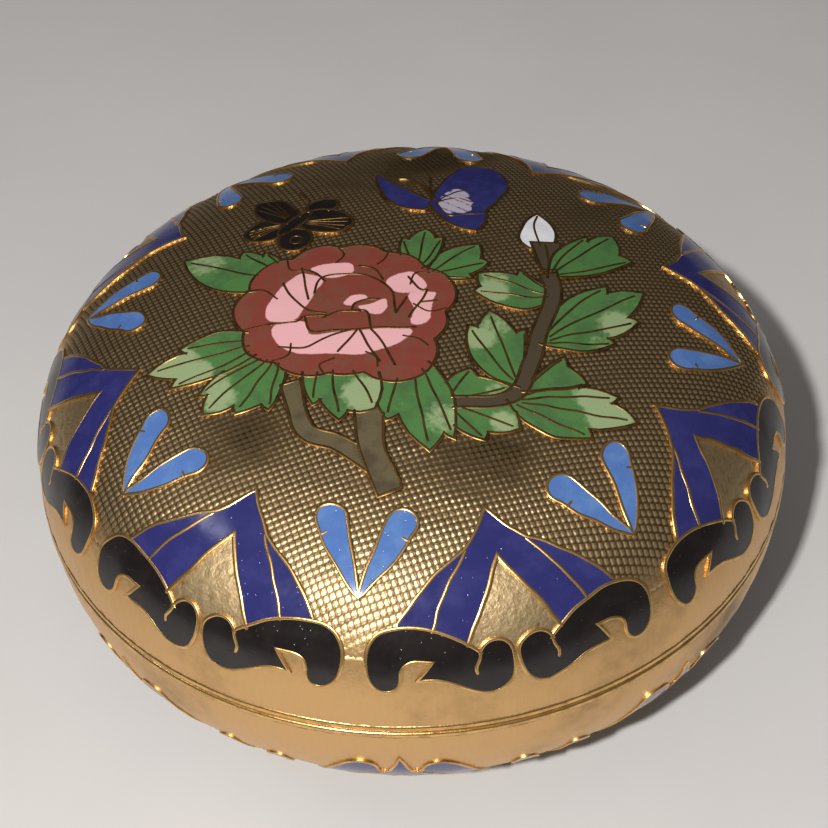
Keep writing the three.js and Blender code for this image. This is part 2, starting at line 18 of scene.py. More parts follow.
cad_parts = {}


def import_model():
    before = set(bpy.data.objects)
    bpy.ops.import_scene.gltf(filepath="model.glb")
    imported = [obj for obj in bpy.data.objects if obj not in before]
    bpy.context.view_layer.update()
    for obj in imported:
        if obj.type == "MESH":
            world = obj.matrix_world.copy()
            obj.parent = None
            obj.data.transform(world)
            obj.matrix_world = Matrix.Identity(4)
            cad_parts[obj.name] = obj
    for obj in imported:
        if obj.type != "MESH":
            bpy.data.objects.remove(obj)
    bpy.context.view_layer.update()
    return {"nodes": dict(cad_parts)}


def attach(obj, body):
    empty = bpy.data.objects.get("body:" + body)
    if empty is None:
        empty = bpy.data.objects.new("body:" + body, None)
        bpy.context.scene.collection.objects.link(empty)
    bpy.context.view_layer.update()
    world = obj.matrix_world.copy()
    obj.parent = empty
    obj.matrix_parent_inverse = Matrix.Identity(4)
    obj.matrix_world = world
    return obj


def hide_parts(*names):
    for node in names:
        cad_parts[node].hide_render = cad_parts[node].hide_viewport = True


log = logging.getLogger("enamel_box")

MM = 0.001
WIRE = 0.38  # width of the gold wire that fences a field of enamel
WIRE_TOP = 0.34  # crown of a wire above the ground
ENAMEL_TOP = 0.27  # surface of the fired and ground enamel above the ground
CREEP = 0.03  # how far the enamel climbs at a wire
CREEP_REACH = 0.35  # how far from the wire that is felt
SLACK = 0.012  # how uneven the ground enamel is
MITRE = 1.8  # at a sharp corner a wire grows to this many times its width
TUCK = 0.1  # how deep the edge of one sheet of cloth is tucked under the next
Place = Callable[[np.ndarray, np.ndarray], np.ndarray]


# ------------------------------------------------------------------ lines on the flat


class Pen:
    """Draws one line on the flat and keeps evenly spaced points along it."""

    def __init__(self, x: float, y: float, spacing: float = 0.4) -> None:
        """Puts the pen down at a point.

        Args:
            x: Where the line starts, across.
            y: Where the line starts, up.
            spacing: The longest step between two points.
        """
        self.spacing = spacing
        self.points = [(x, y)]

    def _along(self, at: Callable[[np.ndarray], np.ndarray]) -> "Pen":
        """Adds the points of a curve given from 0 to 1.

        Args:
            at: Gives the points at shares from 0 to 1.

        Returns:
            The pen.
        """
        rough = at(np.linspace(0, 1, 17))
        length = np.hypot(*np.diff(rough, axis=0).T).sum()
        count = max(1, math.ceil(length / self.spacing))
        self.points += [tuple(p) for p in at(np.linspace(0, 1, count + 1)[1:])]
        return self

    def line(self, x: float, y: float) -> "Pen":
        """Draws straight to a point.

        Args:
            x: Where the line ends, across.
            y: Where the line ends, up.

        Returns:
            The pen.
        """
        start, end = np.array(self.points[-1]), np.array((x, y))
        if np.hypot(*(end - start)) < 1e-6:
            return self

        def at(t: np.ndarray) -> np.ndarray:
            """The points at shares of the line."""
            return start + t[:, None] * (end - start)

        return self._along(at)

    def bend(self, cx: float, cy: float, x: float, y: float) -> "Pen":
        """Draws a curve with one control point to a point.

        Args:
            cx: The control point, across.
            cy: The control point, up.
            x: Where the line ends, across.
            y: Where the line ends, up.

        Returns:
            The pen.
        """
        a, c, b = np.array(self.points[-1]), np.array((cx, cy)), np.array((x, y))

        def at(t: np.ndarray) -> np.ndarray:
            """The points at shares of the curve."""
            t = t[:, None]
            return (1 - t) ** 2 * a + 2 * t * (1 - t) * c + t**2 * b

        return self._along(at)

    def curve(self, first: tuple, second: tuple, x: float, y: float) -> "Pen":
        """Draws a curve with two control points to a point.

        Args:
            first: The first control point.
            second: The second control point.
            x: Where the line ends, across.
            y: Where the line ends, up.

        Returns:
            The pen.
        """
        a, b = np.array(self.points[-1]), np.array((x, y))
        c, d = np.array(first), np.array(second)

        def at(t: np.ndarray) -> np.ndarray:
            """The points at shares of the curve."""
            t = t[:, None]
            s = 1 - t
            return s**3 * a + 3 * s**2 * t * c + 3 * s * t**2 * d + t**3 * b

        return self._along(at)

    def arc(self, centre: tuple, radius: float, start: float, end: float) -> "Pen":
        """Draws to the start of an arc and round it.

        Args:
            centre: Middle of the arc.
            radius: Its radius.
            start: Angle where it starts, radians.
            end: Angle where it ends, radians.

        Returns:
            The pen.
        """
        self.line(
            centre[0] + radius * math.cos(start), centre[1] + radius * math.sin(start)
        )

        def at(t: np.ndarray) -> np.ndarray:
            """The points at shares of the curve."""
            angle = start + t * (end - start)
            return np.array(centre) + radius * np.stack(
                [np.cos(angle), np.sin(angle)], 1
            )

        return self._along(at)

    def drawn(self) -> np.ndarray:
        """The points of the line, without doubled ones."""
        points = np.array(self.points)
        step = np.hypot(*np.diff(points, axis=0).T)
        return points[np.concatenate([[True], step > 0.03])]


def closed(points: np.ndarray) -> np.ndarray:
    """The points of a closed line without the last one where it repeats the first."""
    return points[:-1] if np.hypot(*(points[0] - points[-1])) < 0.05 else points


def smooth_line(points: list, spacing: float = 0.4, ring: bool = False) -> np.ndarray:
    """Threads a smooth line through a few points.

    Args:
        points: The points, each (x, y).
        spacing: The longest step between two points of the line.
        ring: Whether the line closes on itself.

    Returns:
        The line as an array of points.
    """
    knots = np.array(points, float)
    if ring:
        knots = np.concatenate([knots[-1:], knots, knots[:2]])
    else:
        ends = 2 * knots[[0, -1]] - knots[[1, -2]]
        knots = np.concatenate([ends[:1], knots, ends[1:]])
    pieces = []
    for a, b, c, d in zip(knots[:-3], knots[1:-2], knots[2:-1], knots[3:]):
        count = max(1, math.ceil(np.hypot(*(c - b)) / spacing))
        t = (np.arange(count) / count)[:, None]
        pieces.append(
            0.5
            * (
                2 * b
                + (c - a) * t
                + (2 * a - 5 * b + 4 * c - d) * t**2
                + (3 * b - a - 3 * c + d) * t**3
            )
        )
    if not ring:
        pieces.append(knots[-2:-1])
    return np.concatenate(pieces)


def mirrored(points: np.ndarray) -> np.ndarray:
    """The line mirrored across the axis, drawn the other way round."""
    return (points * (-1, 1))[::-1]


def sides_of(points: np.ndarray, ring: bool) -> np.ndarray:
    """The vector to the right of the line at each point, longer at corners.

    Args:
        points: The points, one row each.
        ring: Whether the line closes on itself.

    Returns:
        The vectors, one row each.
    """
    before = points - np.roll(points, 1, axis=0)
    after = np.roll(points, -1, axis=0) - points
    if not ring:
        before[0], after[-1] = after[0], before[-1]
    before /= np.maximum(np.hypot(*before.T), 1e-9)[:, None]
    after /= np.maximum(np.hypot(*after.T), 1e-9)[:, None]
    middle = before + after
    normal = np.stack([middle[:, 1], -middle[:, 0]], 1)
    normal /= np.maximum(np.hypot(*normal.T), 1e-9)[:, None]
    cosine = normal[:, 0] * before[:, 1] - normal[:, 1] * before[:, 0]
    return normal / np.maximum(cosine, 1 / MITRE)[:, None]


def grown(points: np.ndarray, distance: float) -> np.ndarray:
    """A closed anticlockwise outline with its edges moved outwards by a distance."""
    return points + distance * sides_of(points, True)


def area_of(points: np.ndarray) -> float:
    """The signed area of a closed outline, above 0 where it runs anticlockwise."""
    x, y = points.T
    return 0.5 * float((x * np.roll(y, -1) - y * np.roll(x, -1)).sum())


def anticlockwise(points: np.ndarray) -> np.ndarray:
    """The closed outline, turned round if it runs clockwise."""
    return points if area_of(points) > 0 else points[::-1]


def inside(points: np.ndarray, outline: np.ndarray) -> np.ndarray:
    """Whether each point lies inside a closed outline.

    Args:
        points: The points, one row each.
        outline: The closed outline.

    Returns:
        True for each point inside.
    """
    result = np.zeros(len(points), bool)
    low, high = outline.min(0), outline.max(0)
    near = ((points >= low) & (points <= high)).all(1)
    if not near.any():
        return result
    x, y = points[near, 0, None], points[near, 1, None]
    a, b = outline, np.roll(outline, -1, axis=0)
    rise = np.where(a[:, 1] == b[:, 1], 1, b[:, 1] - a[:, 1])
    crosses = (a[:, 1] > y) != (b[:, 1] > y)
    at = (b[:, 0] - a[:, 0]) * (y - a[:, 1]) / rise + a[:, 0]
    result[near] = (crosses & (x < at)).sum(1) % 2 == 1
    return result


def distance_to(points: np.ndarray, line: np.ndarray, ring: bool = True) -> np.ndarray:
    """The distance from each point to a line.

    Args:
        points: The points, one row each.
        line: The line.
        ring: Whether the line closes on itself.

    Returns:
        The distances.
    """
    a = line if ring else line[:-1]
    b = np.roll(line, -1, axis=0) if ring else line[1:]
    along = b - a
    length = np.maximum((along**2).sum(1), 1e-12)
    best = np.full(len(points), np.inf)
    for start in range(0, len(points), 4000):
        part = points[start : start + 4000, None]
        t = np.clip(((part - a) * along).sum(2) / length, 0, 1)
        off = part - (a + t[..., None] * along)
        best[start : start + 4000] = np.hypot(off[..., 0], off[..., 1]).min(1)
    return best


def softly_inside(points: np.ndarray, outline: np.ndarray) -> np.ndarray:
    """1 well inside a closed outline and 0 well outside, with a soft edge of 0.5 mm."""
    away = distance_to(points, outline)
    signed = np.where(inside(points, outline), away, -away)
    return np.clip(0.5 + signed / 0.5, 0, 1)


def step_between(low: float, high: float, value: np.ndarray) -> np.ndarray:
    """0 below low and 1 above high, with a smooth step between them."""
    t = np.clip((value - low) / (high - low), 0, 1)
    return t * t * (3 - 2 * t)


class Drift:
    """A smooth random field on the flat, for the unevenness of handwork."""

    def __init__(self, seed: int, wave: float, waves: int = 6) -> None:
        """Draws the waves.

        Args:
            seed: The seed of the random draw.
            wave: The usual wavelength, mm.
            waves: How many waves are added up.
        """
        rng = np.random.default_rng(seed)
        angle = rng.uniform(0, 2 * math.pi, waves)
        pitch = 2 * math.pi / (wave * rng.uniform(0.6, 1.7, waves))
        self.push = np.stack([np.cos(angle), np.sin(angle)], 1) * pitch[:, None]
        self.phase = rng.uniform(0, 2 * math.pi, waves)

    def at(self, points: np.ndarray) -> np.ndarray:
        """The field at each point, mostly between -1 and 1."""
        waves = np.sin(points[:, :2] @ self.push.T + self.phase)
        return waves.sum(1) / math.sqrt(len(self.phase))


# ---------------------------------------------------------------------- the two grounds


@dataclass
class Ground:
    """Half of the box's outside: a superellipse turned about Z, measured from the seam.

    Attributes:
        rise: From the seam to where the curve closes.
        sense: 1 for the lid, which rises from the seam, -1 for the bowl.
        radius: Radius of the ground at the seam.
        seam: Height of the seam.
        curve: Exponent of the superellipse.
    """

    rise: float
    sense: int
    radius: float = 43.75
    seam: float = 22.5
    curve: float = 2.55

    def __post_init__(self) -> None:
        """Works out the arc from the seam at many places."""
        angle = np.linspace(0, math.pi / 2, 6000)
        power = 2 / self.curve
        self.radii = self.radius * np.cos(angle) ** power
        self.radii[-1] = 0
        self.heights = self.seam + self.sense * self.rise * np.sin(angle) ** power
        step = np.hypot(np.diff(self.radii), np.diff(self.heights))
        self.arcs = np.concatenate([[0], np.cumsum(step)])

    def height_at(self, r: np.ndarray) -> np.ndarray:
        """Height of the ground at a radius."""
        part = np.maximum(0, 1 - (np.asarray(r) / self.radius) ** self.curve)
        return self.seam + self.sense * self.rise * part ** (1 / self.curve)

    def at_arc(self, arc: np.ndarray) -> tuple[np.ndarray, np.ndarray]:
        """Radius and height at an arc length from the seam."""
        return (
            np.interp(arc, self.arcs, self.radii),
            np.interp(arc, self.arcs, self.heights),
        )

    def arc_at(self, r: np.ndarray) -> np.ndarray:
        """Arc length from the seam at a radius."""
        return np.interp(-np.asarray(r), -self.radii, self.arcs)

    def lifted(
        self, r: np.ndarray, z: np.ndarray, azimuth: np.ndarray, lift: np.ndarray
    ) -> np.ndarray:
        """Points lifted off the ground along its normal.

        Args:
            r: Radius of each point on the ground.
            z: Height of each point on the ground.
            azimuth: Direction of each point from the axis, radians.
            lift: Distance from the ground.

        Returns:
            The points in space, one row each.
        """
        height = np.abs(z - self.seam)
        slope_r = (r / self.radius) ** (self.curve - 1) / self.radius
        slope_z = self.sense * (height / self.rise) ** (self.curve - 1) / self.rise
        length = np.maximum(np.hypot(slope_r, slope_z), 1e-12)
        out = r + lift * slope_r / length
        return np.stack(
            [out * np.cos(azimuth), out * np.sin(azimuth), z + lift * slope_z / length],
            1,
        )


@dataclass(frozen=True)
class RingPlace:
    """Lays a flat drawing on the ring: x along it, y up it, (0, 0) at a lappet's tip.

    Attributes:
        ground: The ground that carries the ring.
        tip_arc: Arc from the seam to the tips.
        azimuth: Direction of the drawing's axis, radians.
        scale: Size of the drawing on the box.
        shift: The setter's slip along and up, mm.
        turn: The setter's slip in angle, radians.
    """

    ground: Ground
    tip_arc: float
    azimuth: float
    scale: float = 1.0
    shift: tuple = (0.0, 0.0)
    turn: float = 0.0

    def __call__(self, flat: np.ndarray, lift: np.ndarray) -> np.ndarray:
        """The points in space of flat points at a lift above the ground.

        Args:
            flat: The flat points.
            lift: How far each lies above the ground.

        Returns:
            The points in space, one row each.
        """
        c, s = math.cos(self.turn), math.sin(self.turn)
        x = c * flat[:, 0] - s * flat[:, 1] + self.shift[0]
        y = s * flat[:, 0] + c * flat[:, 1] + self.shift[1]
        r, z = self.ground.at_arc(self.tip_arc + self.ground.sense * y * self.scale)
        return self.ground.lifted(r, z, self.azimuth + x * self.scale / r, lift)

    def flattened(self, r: np.ndarray, azimuth: np.ndarray) -> np.ndarray:
        """The flat points of places on the ground, given by radius and direction.

        Args:
            r: Radius of each place.
            azimuth: Direction of each place, radians.

        Returns:
            The flat points.
        """
        away = (azimuth - self.azimuth + math.pi) % (2 * math.pi) - math.pi
        x = away * r / self.scale - self.shift[0]
        y = self.ground.sense * (self.ground.arc_at(r) - self.tip_arc) / self.scale
        y = y - self.shift[1]
        c, s = math.cos(self.turn), math.sin(self.turn)
        return np.stack([c * x + s * y, c * y - s * x], 1)


@dataclass(frozen=True)
class CrownPlace:
    """Lays a flat drawing on the crown of the lid, as seen from above."""

    ground: Ground

    def __call__(self, flat: np.ndarray, lift: np.ndarray) -> np.ndarray:
        """The points in space of flat points at a lift above the ground."""
        r = np.hypot(flat[:, 0], flat[:, 1])
        azimuth = np.arctan2(flat[:, 1], flat[:, 0])
        return self.ground.lifted(r, self.ground.height_at(r), azimuth, lift)


# ------------------------------------------------------------------------- raw meshes


def quads(index: np.ndarray) -> np.ndarray:
    """The four corners of each field of a grid of corner numbers.

    Args:
        index: A grid of corner numbers.

    Returns:
        Rows of four corner numbers.
    """
    return np.stack(
        [
            index[:-1, :-1].ravel(),
            index[:-1, 1:].ravel(),
            index[1:, 1:].ravel(),
            index[1:, :-1].ravel(),
        ],
        1,
    )


@dataclass
class Skin:
    """A mesh before it becomes a piece.

    Attributes:
        points: Corners in space, mm.
        faces: Faces as rows of corner numbers.
        values: Named values at the corners, for the finish to read.
    """

    points: np.ndarray
    faces: list
    values: dict = field(default_factory=dict)


def joined(skins: list) -> Skin:
    """Several skins as one.

    Args:
        skins: The skins.

    Returns:
        One skin with the values of all.
    """
    names = sorted({name for skin in skins for name in skin.values})
    faces, first = [], 0
    for skin in skins:
        faces += (
            (np.asarray(skin.faces) + first).tolist()
            if isinstance(skin.faces, np.ndarray)
            else [[i + first for i in face] for face in skin.faces]
        )
        first += len(skin.points)
    values = {
        name: np.concatenate(
            [skin.values.get(name, np.zeros(len(skin.points))) for skin in skins]
        )
        for name in names
    }
    return Skin(np.concatenate([skin.points for skin in skins]), faces, values)


def make_piece(
    name: str,
    skin: Skin,
    finish: bpy.types.Material,
    stands_for: tuple = (),
    crease: float = 40.0,
) -> bpy.types.Object:
    """Makes a piece of the box from its skin.

    Args:
        name: The piece's name.
        skin: Its mesh, in millimetres.
        finish: Its material.
        stands_for: The CAD nodes that it is shown in place of.
        crease: Edges sharper than this many degrees stay sharp.

    Returns:
        The new object.
    """
    mesh = bpy.data.meshes.new(name)
    faces = skin.faces.tolist() if isinstance(skin.faces, np.ndarray) else skin.faces
    mesh.from_pydata((skin.points * MM).tolist(), [], faces)
    for value, numbers in skin.values.items():
        attribute = mesh.attributes.new(value, "FLOAT", "POINT")
        attribute.data.foreach_set("value", np.asarray(numbers, np.float32))
    mesh.shade_smooth()
    mesh.set_sharp_from_angle(angle=math.radians(crease))
    mesh.materials.append(finish)
    mesh.update()
    piece = bpy.data.objects.new(name, mesh)
    bpy.context.scene.collection.objects.link(piece)
    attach(piece, "root")
    if stands_for:
        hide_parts(*stands_for)
    log.info("%s: %d corners, %d faces", name, len(mesh.vertices), len(mesh.polygons))
    return piece


def turned(profile: np.ndarray, around: int = 256) -> Skin:
    """Turns a profile about Z; rows on the axis close the form.

    Args:
        profile: Rows of radius and height.
        around: How many corners go round.

    Returns:
        The skin.
    """
    angle = np.arange(around) / around * 2 * math.pi
    r, z = profile.T
    points = np.stack(
        [
            np.outer(r, np.cos(angle)).ravel(),
            np.outer(r, np.sin(angle)).ravel(),
            np.repeat(z, around),
        ],
        1,
    )
    index = np.arange(len(points)).reshape(-1, around)
    faces = quads(np.concatenate([index, index[:, :1]], 1))
    kept, where = np.unique(np.round(points, 6), axis=0, return_inverse=True)
    result = []
    for face in where.ravel()[faces].tolist():
        corners = [c for k, c in enumerate(face) if c != face[k - 1]]
        if len(corners) > 2:
            result.append(corners)
    return Skin(kept, result)


# ---------------------------------------------------------------- enamel and its wires


@dataclass
class Wire:
    """A gold wire set on edge on the ground.

    Attributes:
        line: Its centre line on the flat.
        ring: Whether it closes on itself.
        width: Its width across the top.
        top: How high its crown stands above the ground.
    """

    line: np.ndarray
    ring: bool = False
    width: float = WIRE
    top: float = WIRE_TOP

    def cut(self, covers: list) -> list["Wire"]:
        """The parts of the wire outside the given outlines, as wires.

        Args:
            covers: Outlines that lie over the wire.

        Returns:
            The wires that stay in sight.
        """
        hidden = np.zeros(len(self.line), bool)
        for outline in covers:
            hidden |= inside(self.line, outline)
        if not hidden.any():
            return [self]
        line = self.line
        if self.ring:
            first = int(np.argmax(hidden))
            line = np.roll(line, -first, axis=0)
            hidden = np.roll(hidden, -first)
            line = np.concatenate([line, line[:1]])
            hidden = np.concatenate([hidden, hidden[:1]])
        runs, start = [], None
        for i, covered in enumerate(hidden):
            if not covered and start is None:
                start = max(0, i - 1)
            if covered and start is not None:
                runs.append((start, i + 1))
                start = None
        if start is not None:
            runs.append((start, len(line)))
        return [
            Wire(line[a:b], False, self.width, self.top) for a, b in runs if b - a > 2
        ]

    def raised(self, place: Place) -> Skin:
        """The wire's skin on the ground, its foot sunk and its crown rubbed round.

        Args:
            place: Lays flat points on the ground.

        Returns:
            The skin.
        """
        across = np.array([-1, -1, -0.72, 0, 0.72, 1, 1])
        up = np.array([-0.3, 0.8, 0.95, 1, 0.95, 0.8, -0.3]) * self.top
        line = self.line
        widths = np.full(len(line), self.width / 2)
        if not self.ring:
            before, after = line[0] - line[1], line[-1] - line[-2]
            before = before / max(np.hypot(*before), 1e-9)
            after = after / max(np.hypot(*after), 1e-9)
            reach = 0.35 * self.width
            line = np.concatenate(
                [[line[0] + reach * before], line, [line[-1] + reach * after]]
            )
            widths = np.concatenate([[widths[0] * 0.5], widths, [widths[-1] * 0.5]])
        side = sides_of(line, self.ring) * widths[:, None]
        flat = line[:, None] + across[None, :, None] * side[:, None]
        lift = np.tile(up, len(line))
        points = place(flat.reshape(-1, 2), lift)
        count, wide = len(line), len(across)
        index = np.arange(count * wide).reshape(count, wide)
        if self.ring:
            index = np.concatenate([index, index[:1]])
        faces = quads(index)[:, [0, 3, 2, 1]].tolist()
        if not self.ring:
            faces.append(list(range(wide)))
            faces.append(list(range((count - 1) * wide, count * wide))[::-1])
        return Skin(points, faces)


@dataclass
class Field:
    """One field of enamel inside its wire, drawn on the flat.

    Attributes:
        outline: Edge of the enamel, anticlockwise.
        holes: Outlines left open in it.
        tint: Gives each flat point its share of the enamel's second colour.
        spacing: Distance between the corners of its mesh.
        fence: The lines of wire around it; None for one wire all round.
        bark: 1 where the field is a stem in the enamel's bark colour.
    """

    outline: np.ndarray
    holes: list = field(default_factory=list)
    tint: Optional[Callable[[np.ndarray], np.ndarray]] = None
    spacing: float = 0.75
    fence: Optional[list] = None
    bark: float = 0.0

    def edge(self) -> np.ndarray:
        """The middle of the wire around the field."""
        return grown(self.outline, WIRE / 2)

    def sheet(self, covers: list) -> tuple[np.ndarray, np.ndarray]:
        """Fills the field with triangles.

        Args:
            covers: Outlines of the fields that lie over this one.

        Returns:
            The flat points and the triangles, as two arrays.
        """
        edge = self.edge()
        low, high = edge.min(0), edge.max(0)
        gaps = [grown(hole, -WIRE / 2) for hole in self.holes]
        for cover in covers:
            if (cover.max(0) > low).all() and (cover.min(0) < high).all():
                gaps.append(cover)
        loops = [edge, *gaps]
        step = self.spacing
        across = np.arange(low[0], high[0], step)
        up = np.arange(low[1], high[1], step * 0.87)
        x, y = np.meshgrid(across, up)
        x = x + (np.arange(len(up)) % 2)[:, None] * step / 2
        grid = np.stack([x.ravel(), y.ravel()], 1)
        grid = grid[inside(grid, edge)]
        for gap in gaps:
            grid = grid[~inside(grid, gap)]
        for loop in loops:
            grid = grid[distance_to(grid, loop) > 0.45 * step]
        borders, first = [], 0
        for loop in loops:
            i = np.arange(len(loop))
            borders += np.stack([first + i, first + (i + 1) % len(loop)], 1).tolist()
            first += len(loop)
        corners = [Vector(p) for p in np.concatenate([*loops, grid])]
        done = delaunay_2d_cdt(corners, borders, [], 0, 1e-4)
        points = np.array([tuple(p) for p in done[0]])
        faces = np.array([f for f in done[2] if len(f) == 3])
        middle = points[faces].mean(1)
        kept = inside(middle, edge)
        for gap in gaps:
            kept &= ~inside(middle, gap)
        faces = faces[kept]
        a, b, c = points[faces].transpose(1, 0, 2)
        turn = (b - a)[:, 0] * (c - a)[:, 1] - (b - a)[:, 1] * (c - a)[:, 0]
        faces[turn < 0] = faces[turn < 0][:, ::-1]
        used, renumbered = np.unique(faces, return_inverse=True)
        return points[used], renumbered.reshape(-1, 3)

    def wires(self) -> list[Wire]:
        """The wires around the field and its holes."""
        if self.fence is not None:
            return list(self.fence)
        rings = [self.edge(), *[grown(hole, -WIRE / 2) for hole in self.holes]]
        return [Wire(ring, True) for ring in rings]


@dataclass
class Cell:
    """What one CAD node of the ornament is: fields of enamel, wires and drawn lines.

    Attributes:
        fields: Its fields; an earlier one lies over a later one.
        lines: Wires drawn on the enamel inside it.
        under: Outlines of neighbours that lie over this cell.
    """

    fields: list[Field]
    lines: list[Wire] = field(default_factory=list)
    under: list = field(default_factory=list)

    def __post_init__(self) -> None:
        """Fills the fields and cuts the wires, once for all places of the cell."""
        covers = [grown(outline, WIRE / 2) for outline in self.under]
        self.sheets, self.fence = [], []
        for one in self.fields:
            points, faces = one.sheet(covers)
            tint = one.tint(points) if one.tint else np.zeros(len(points))
            near = np.full(len(points), np.inf)
            for loop in [one.edge(), *one.holes, *covers]:
                near = np.minimum(near, distance_to(points, loop))
            bark = np.full(len(points), one.bark)
            self.sheets.append((points, faces, {"tint": tint, "bark": bark}, near))
            for wire in one.wires():
                self.fence += wire.cut(covers)
            covers.append(one.edge())
        outside = [grown(outline, WIRE / 2) for outline in self.under]
        for wire in self.lines:
            self.fence += wire.cut(outside)

    def silhouette(self) -> list[np.ndarray]:
        """The outlines that the cell covers on the ground."""
        return [one.outline for one in self.fields]

    def enamel(self, place: Place, seed: int) -> Skin:
        """The fired enamel on the ground, creeping up a little along the wires.

        Args:
            place: Lays flat points on the ground.
            seed: Seed of the unevenness.

        Returns:
            The skin.
        """
        slack = Drift(seed, 4.0)
        skins = []
        for points, faces, values, near in self.sheets:
            moved = self.unsteady(points, seed)
            creep = CREEP * np.exp(-near / CREEP_REACH)
            lift = ENAMEL_TOP + creep + SLACK * slack.at(points)
            skins.append(Skin(place(moved, lift), faces, values))
        return joined(skins)

    def goldwork(self, place: Place, seed: int) -> Skin:
        """The wires of the cell on the ground.

        Args:
            place: Lays flat points on the ground.
            seed: Seed of the unevenness.

        Returns:
            The skin.
        """
        skins = []
        for wire in self.fence:
            moved = self.unsteady(wire.line, seed)
            skins.append(Wire(moved, wire.ring, wire.width, wire.top).raised(place))
        return joined(skins)

    @staticmethod
    def unsteady(points: np.ndarray, seed: int) -> np.ndarray:
        """The flat points as a hand bends the wires: moved a little, and smoothly.

        Args:
            points: The points, one row each.
            seed: Seed of the unevenness.

        Returns:
            The moved points.
        """
        slip = 0.09
        return points + slip * np.stack(
            [Drift(seed * 7 + 1, 5.0).at(points), Drift(seed * 7 + 2, 5.0).at(points)],
            1,
        )


# --------------------------------------------------------------------------- finishes


def linear(code: str) -> tuple[float, float, float, float]:
    """The linear colour of an sRGB hex code, with an alpha of 1.

    Args:
        code: The colour as #RRGGBB.

    Returns:
        Red, green, blue and alpha.
    """
    parts = [int(code[i : i + 2], 16) / 255 for i in (1, 3, 5)]
    r, g, b = (
        c / 12.92 if c <= 0.04045 else ((c + 0.055) / 1.055) ** 2.4 for c in parts
    )
    return r, g, b, 1.0


def add_node(
    tree: bpy.types.NodeTree,
    kind: str,
    inputs: Optional[dict] = None,
    **settings: object,
) -> bpy.types.Node:
    """Adds a node with its settings and links.

    Args:
        tree: The node tree.
        kind: The shader node's type, without its prefix.
        inputs: What each input socket gets: a value, or an output socket to link from.
        **settings: The node's own properties.

    Returns:
        The new node.
    """
    node = tree.nodes.new(f"ShaderNode{kind}")
    for key, value in settings.items():
        setattr(node, key, value)
    for key, value in (inputs or {}).items():
        if isinstance(value, bpy.types.NodeSocket):
            tree.links.new(value, node.inputs[key])
        else:
            node.inputs[key].default_value = value
    return node


def fresh_material(name: str) -> tuple[bpy.types.Material, bpy.types.NodeTree]:
    """A new material with an empty node tree, and the tree."""
    material = bpy.data.materials.new(name)
    material.use_nodes = True
    material.node_tree.nodes.clear()
    return material, material.node_tree


def ramp(node: bpy.types.Node, stops: list) -> bpy.types.Node:
    """Sets the stops of a colour ramp.

    Args:
        node: The colour ramp.
        stops: The stops, each (position, hex code).

    Returns:
        The node.
    """
    elements = node.color_ramp.elements
    while len(elements) < len(stops):
        elements.new(0.5)
    for element, (position, code) in zip(elements, stops):
        element.position = position
        element.color = linear(code)
    return node


class Slot(Enum):
    """Material slot names."""

    GILT = "gilt_copper"
    COBALT = "cobalt_enamel"
    BLACK = "black_enamel"
    SKY = "sky_enamel"
    RED = "red_enamel"
    GREEN = "green_enamel"
    BROWN = "brown_enamel"
    WHITE = "white_enamel"


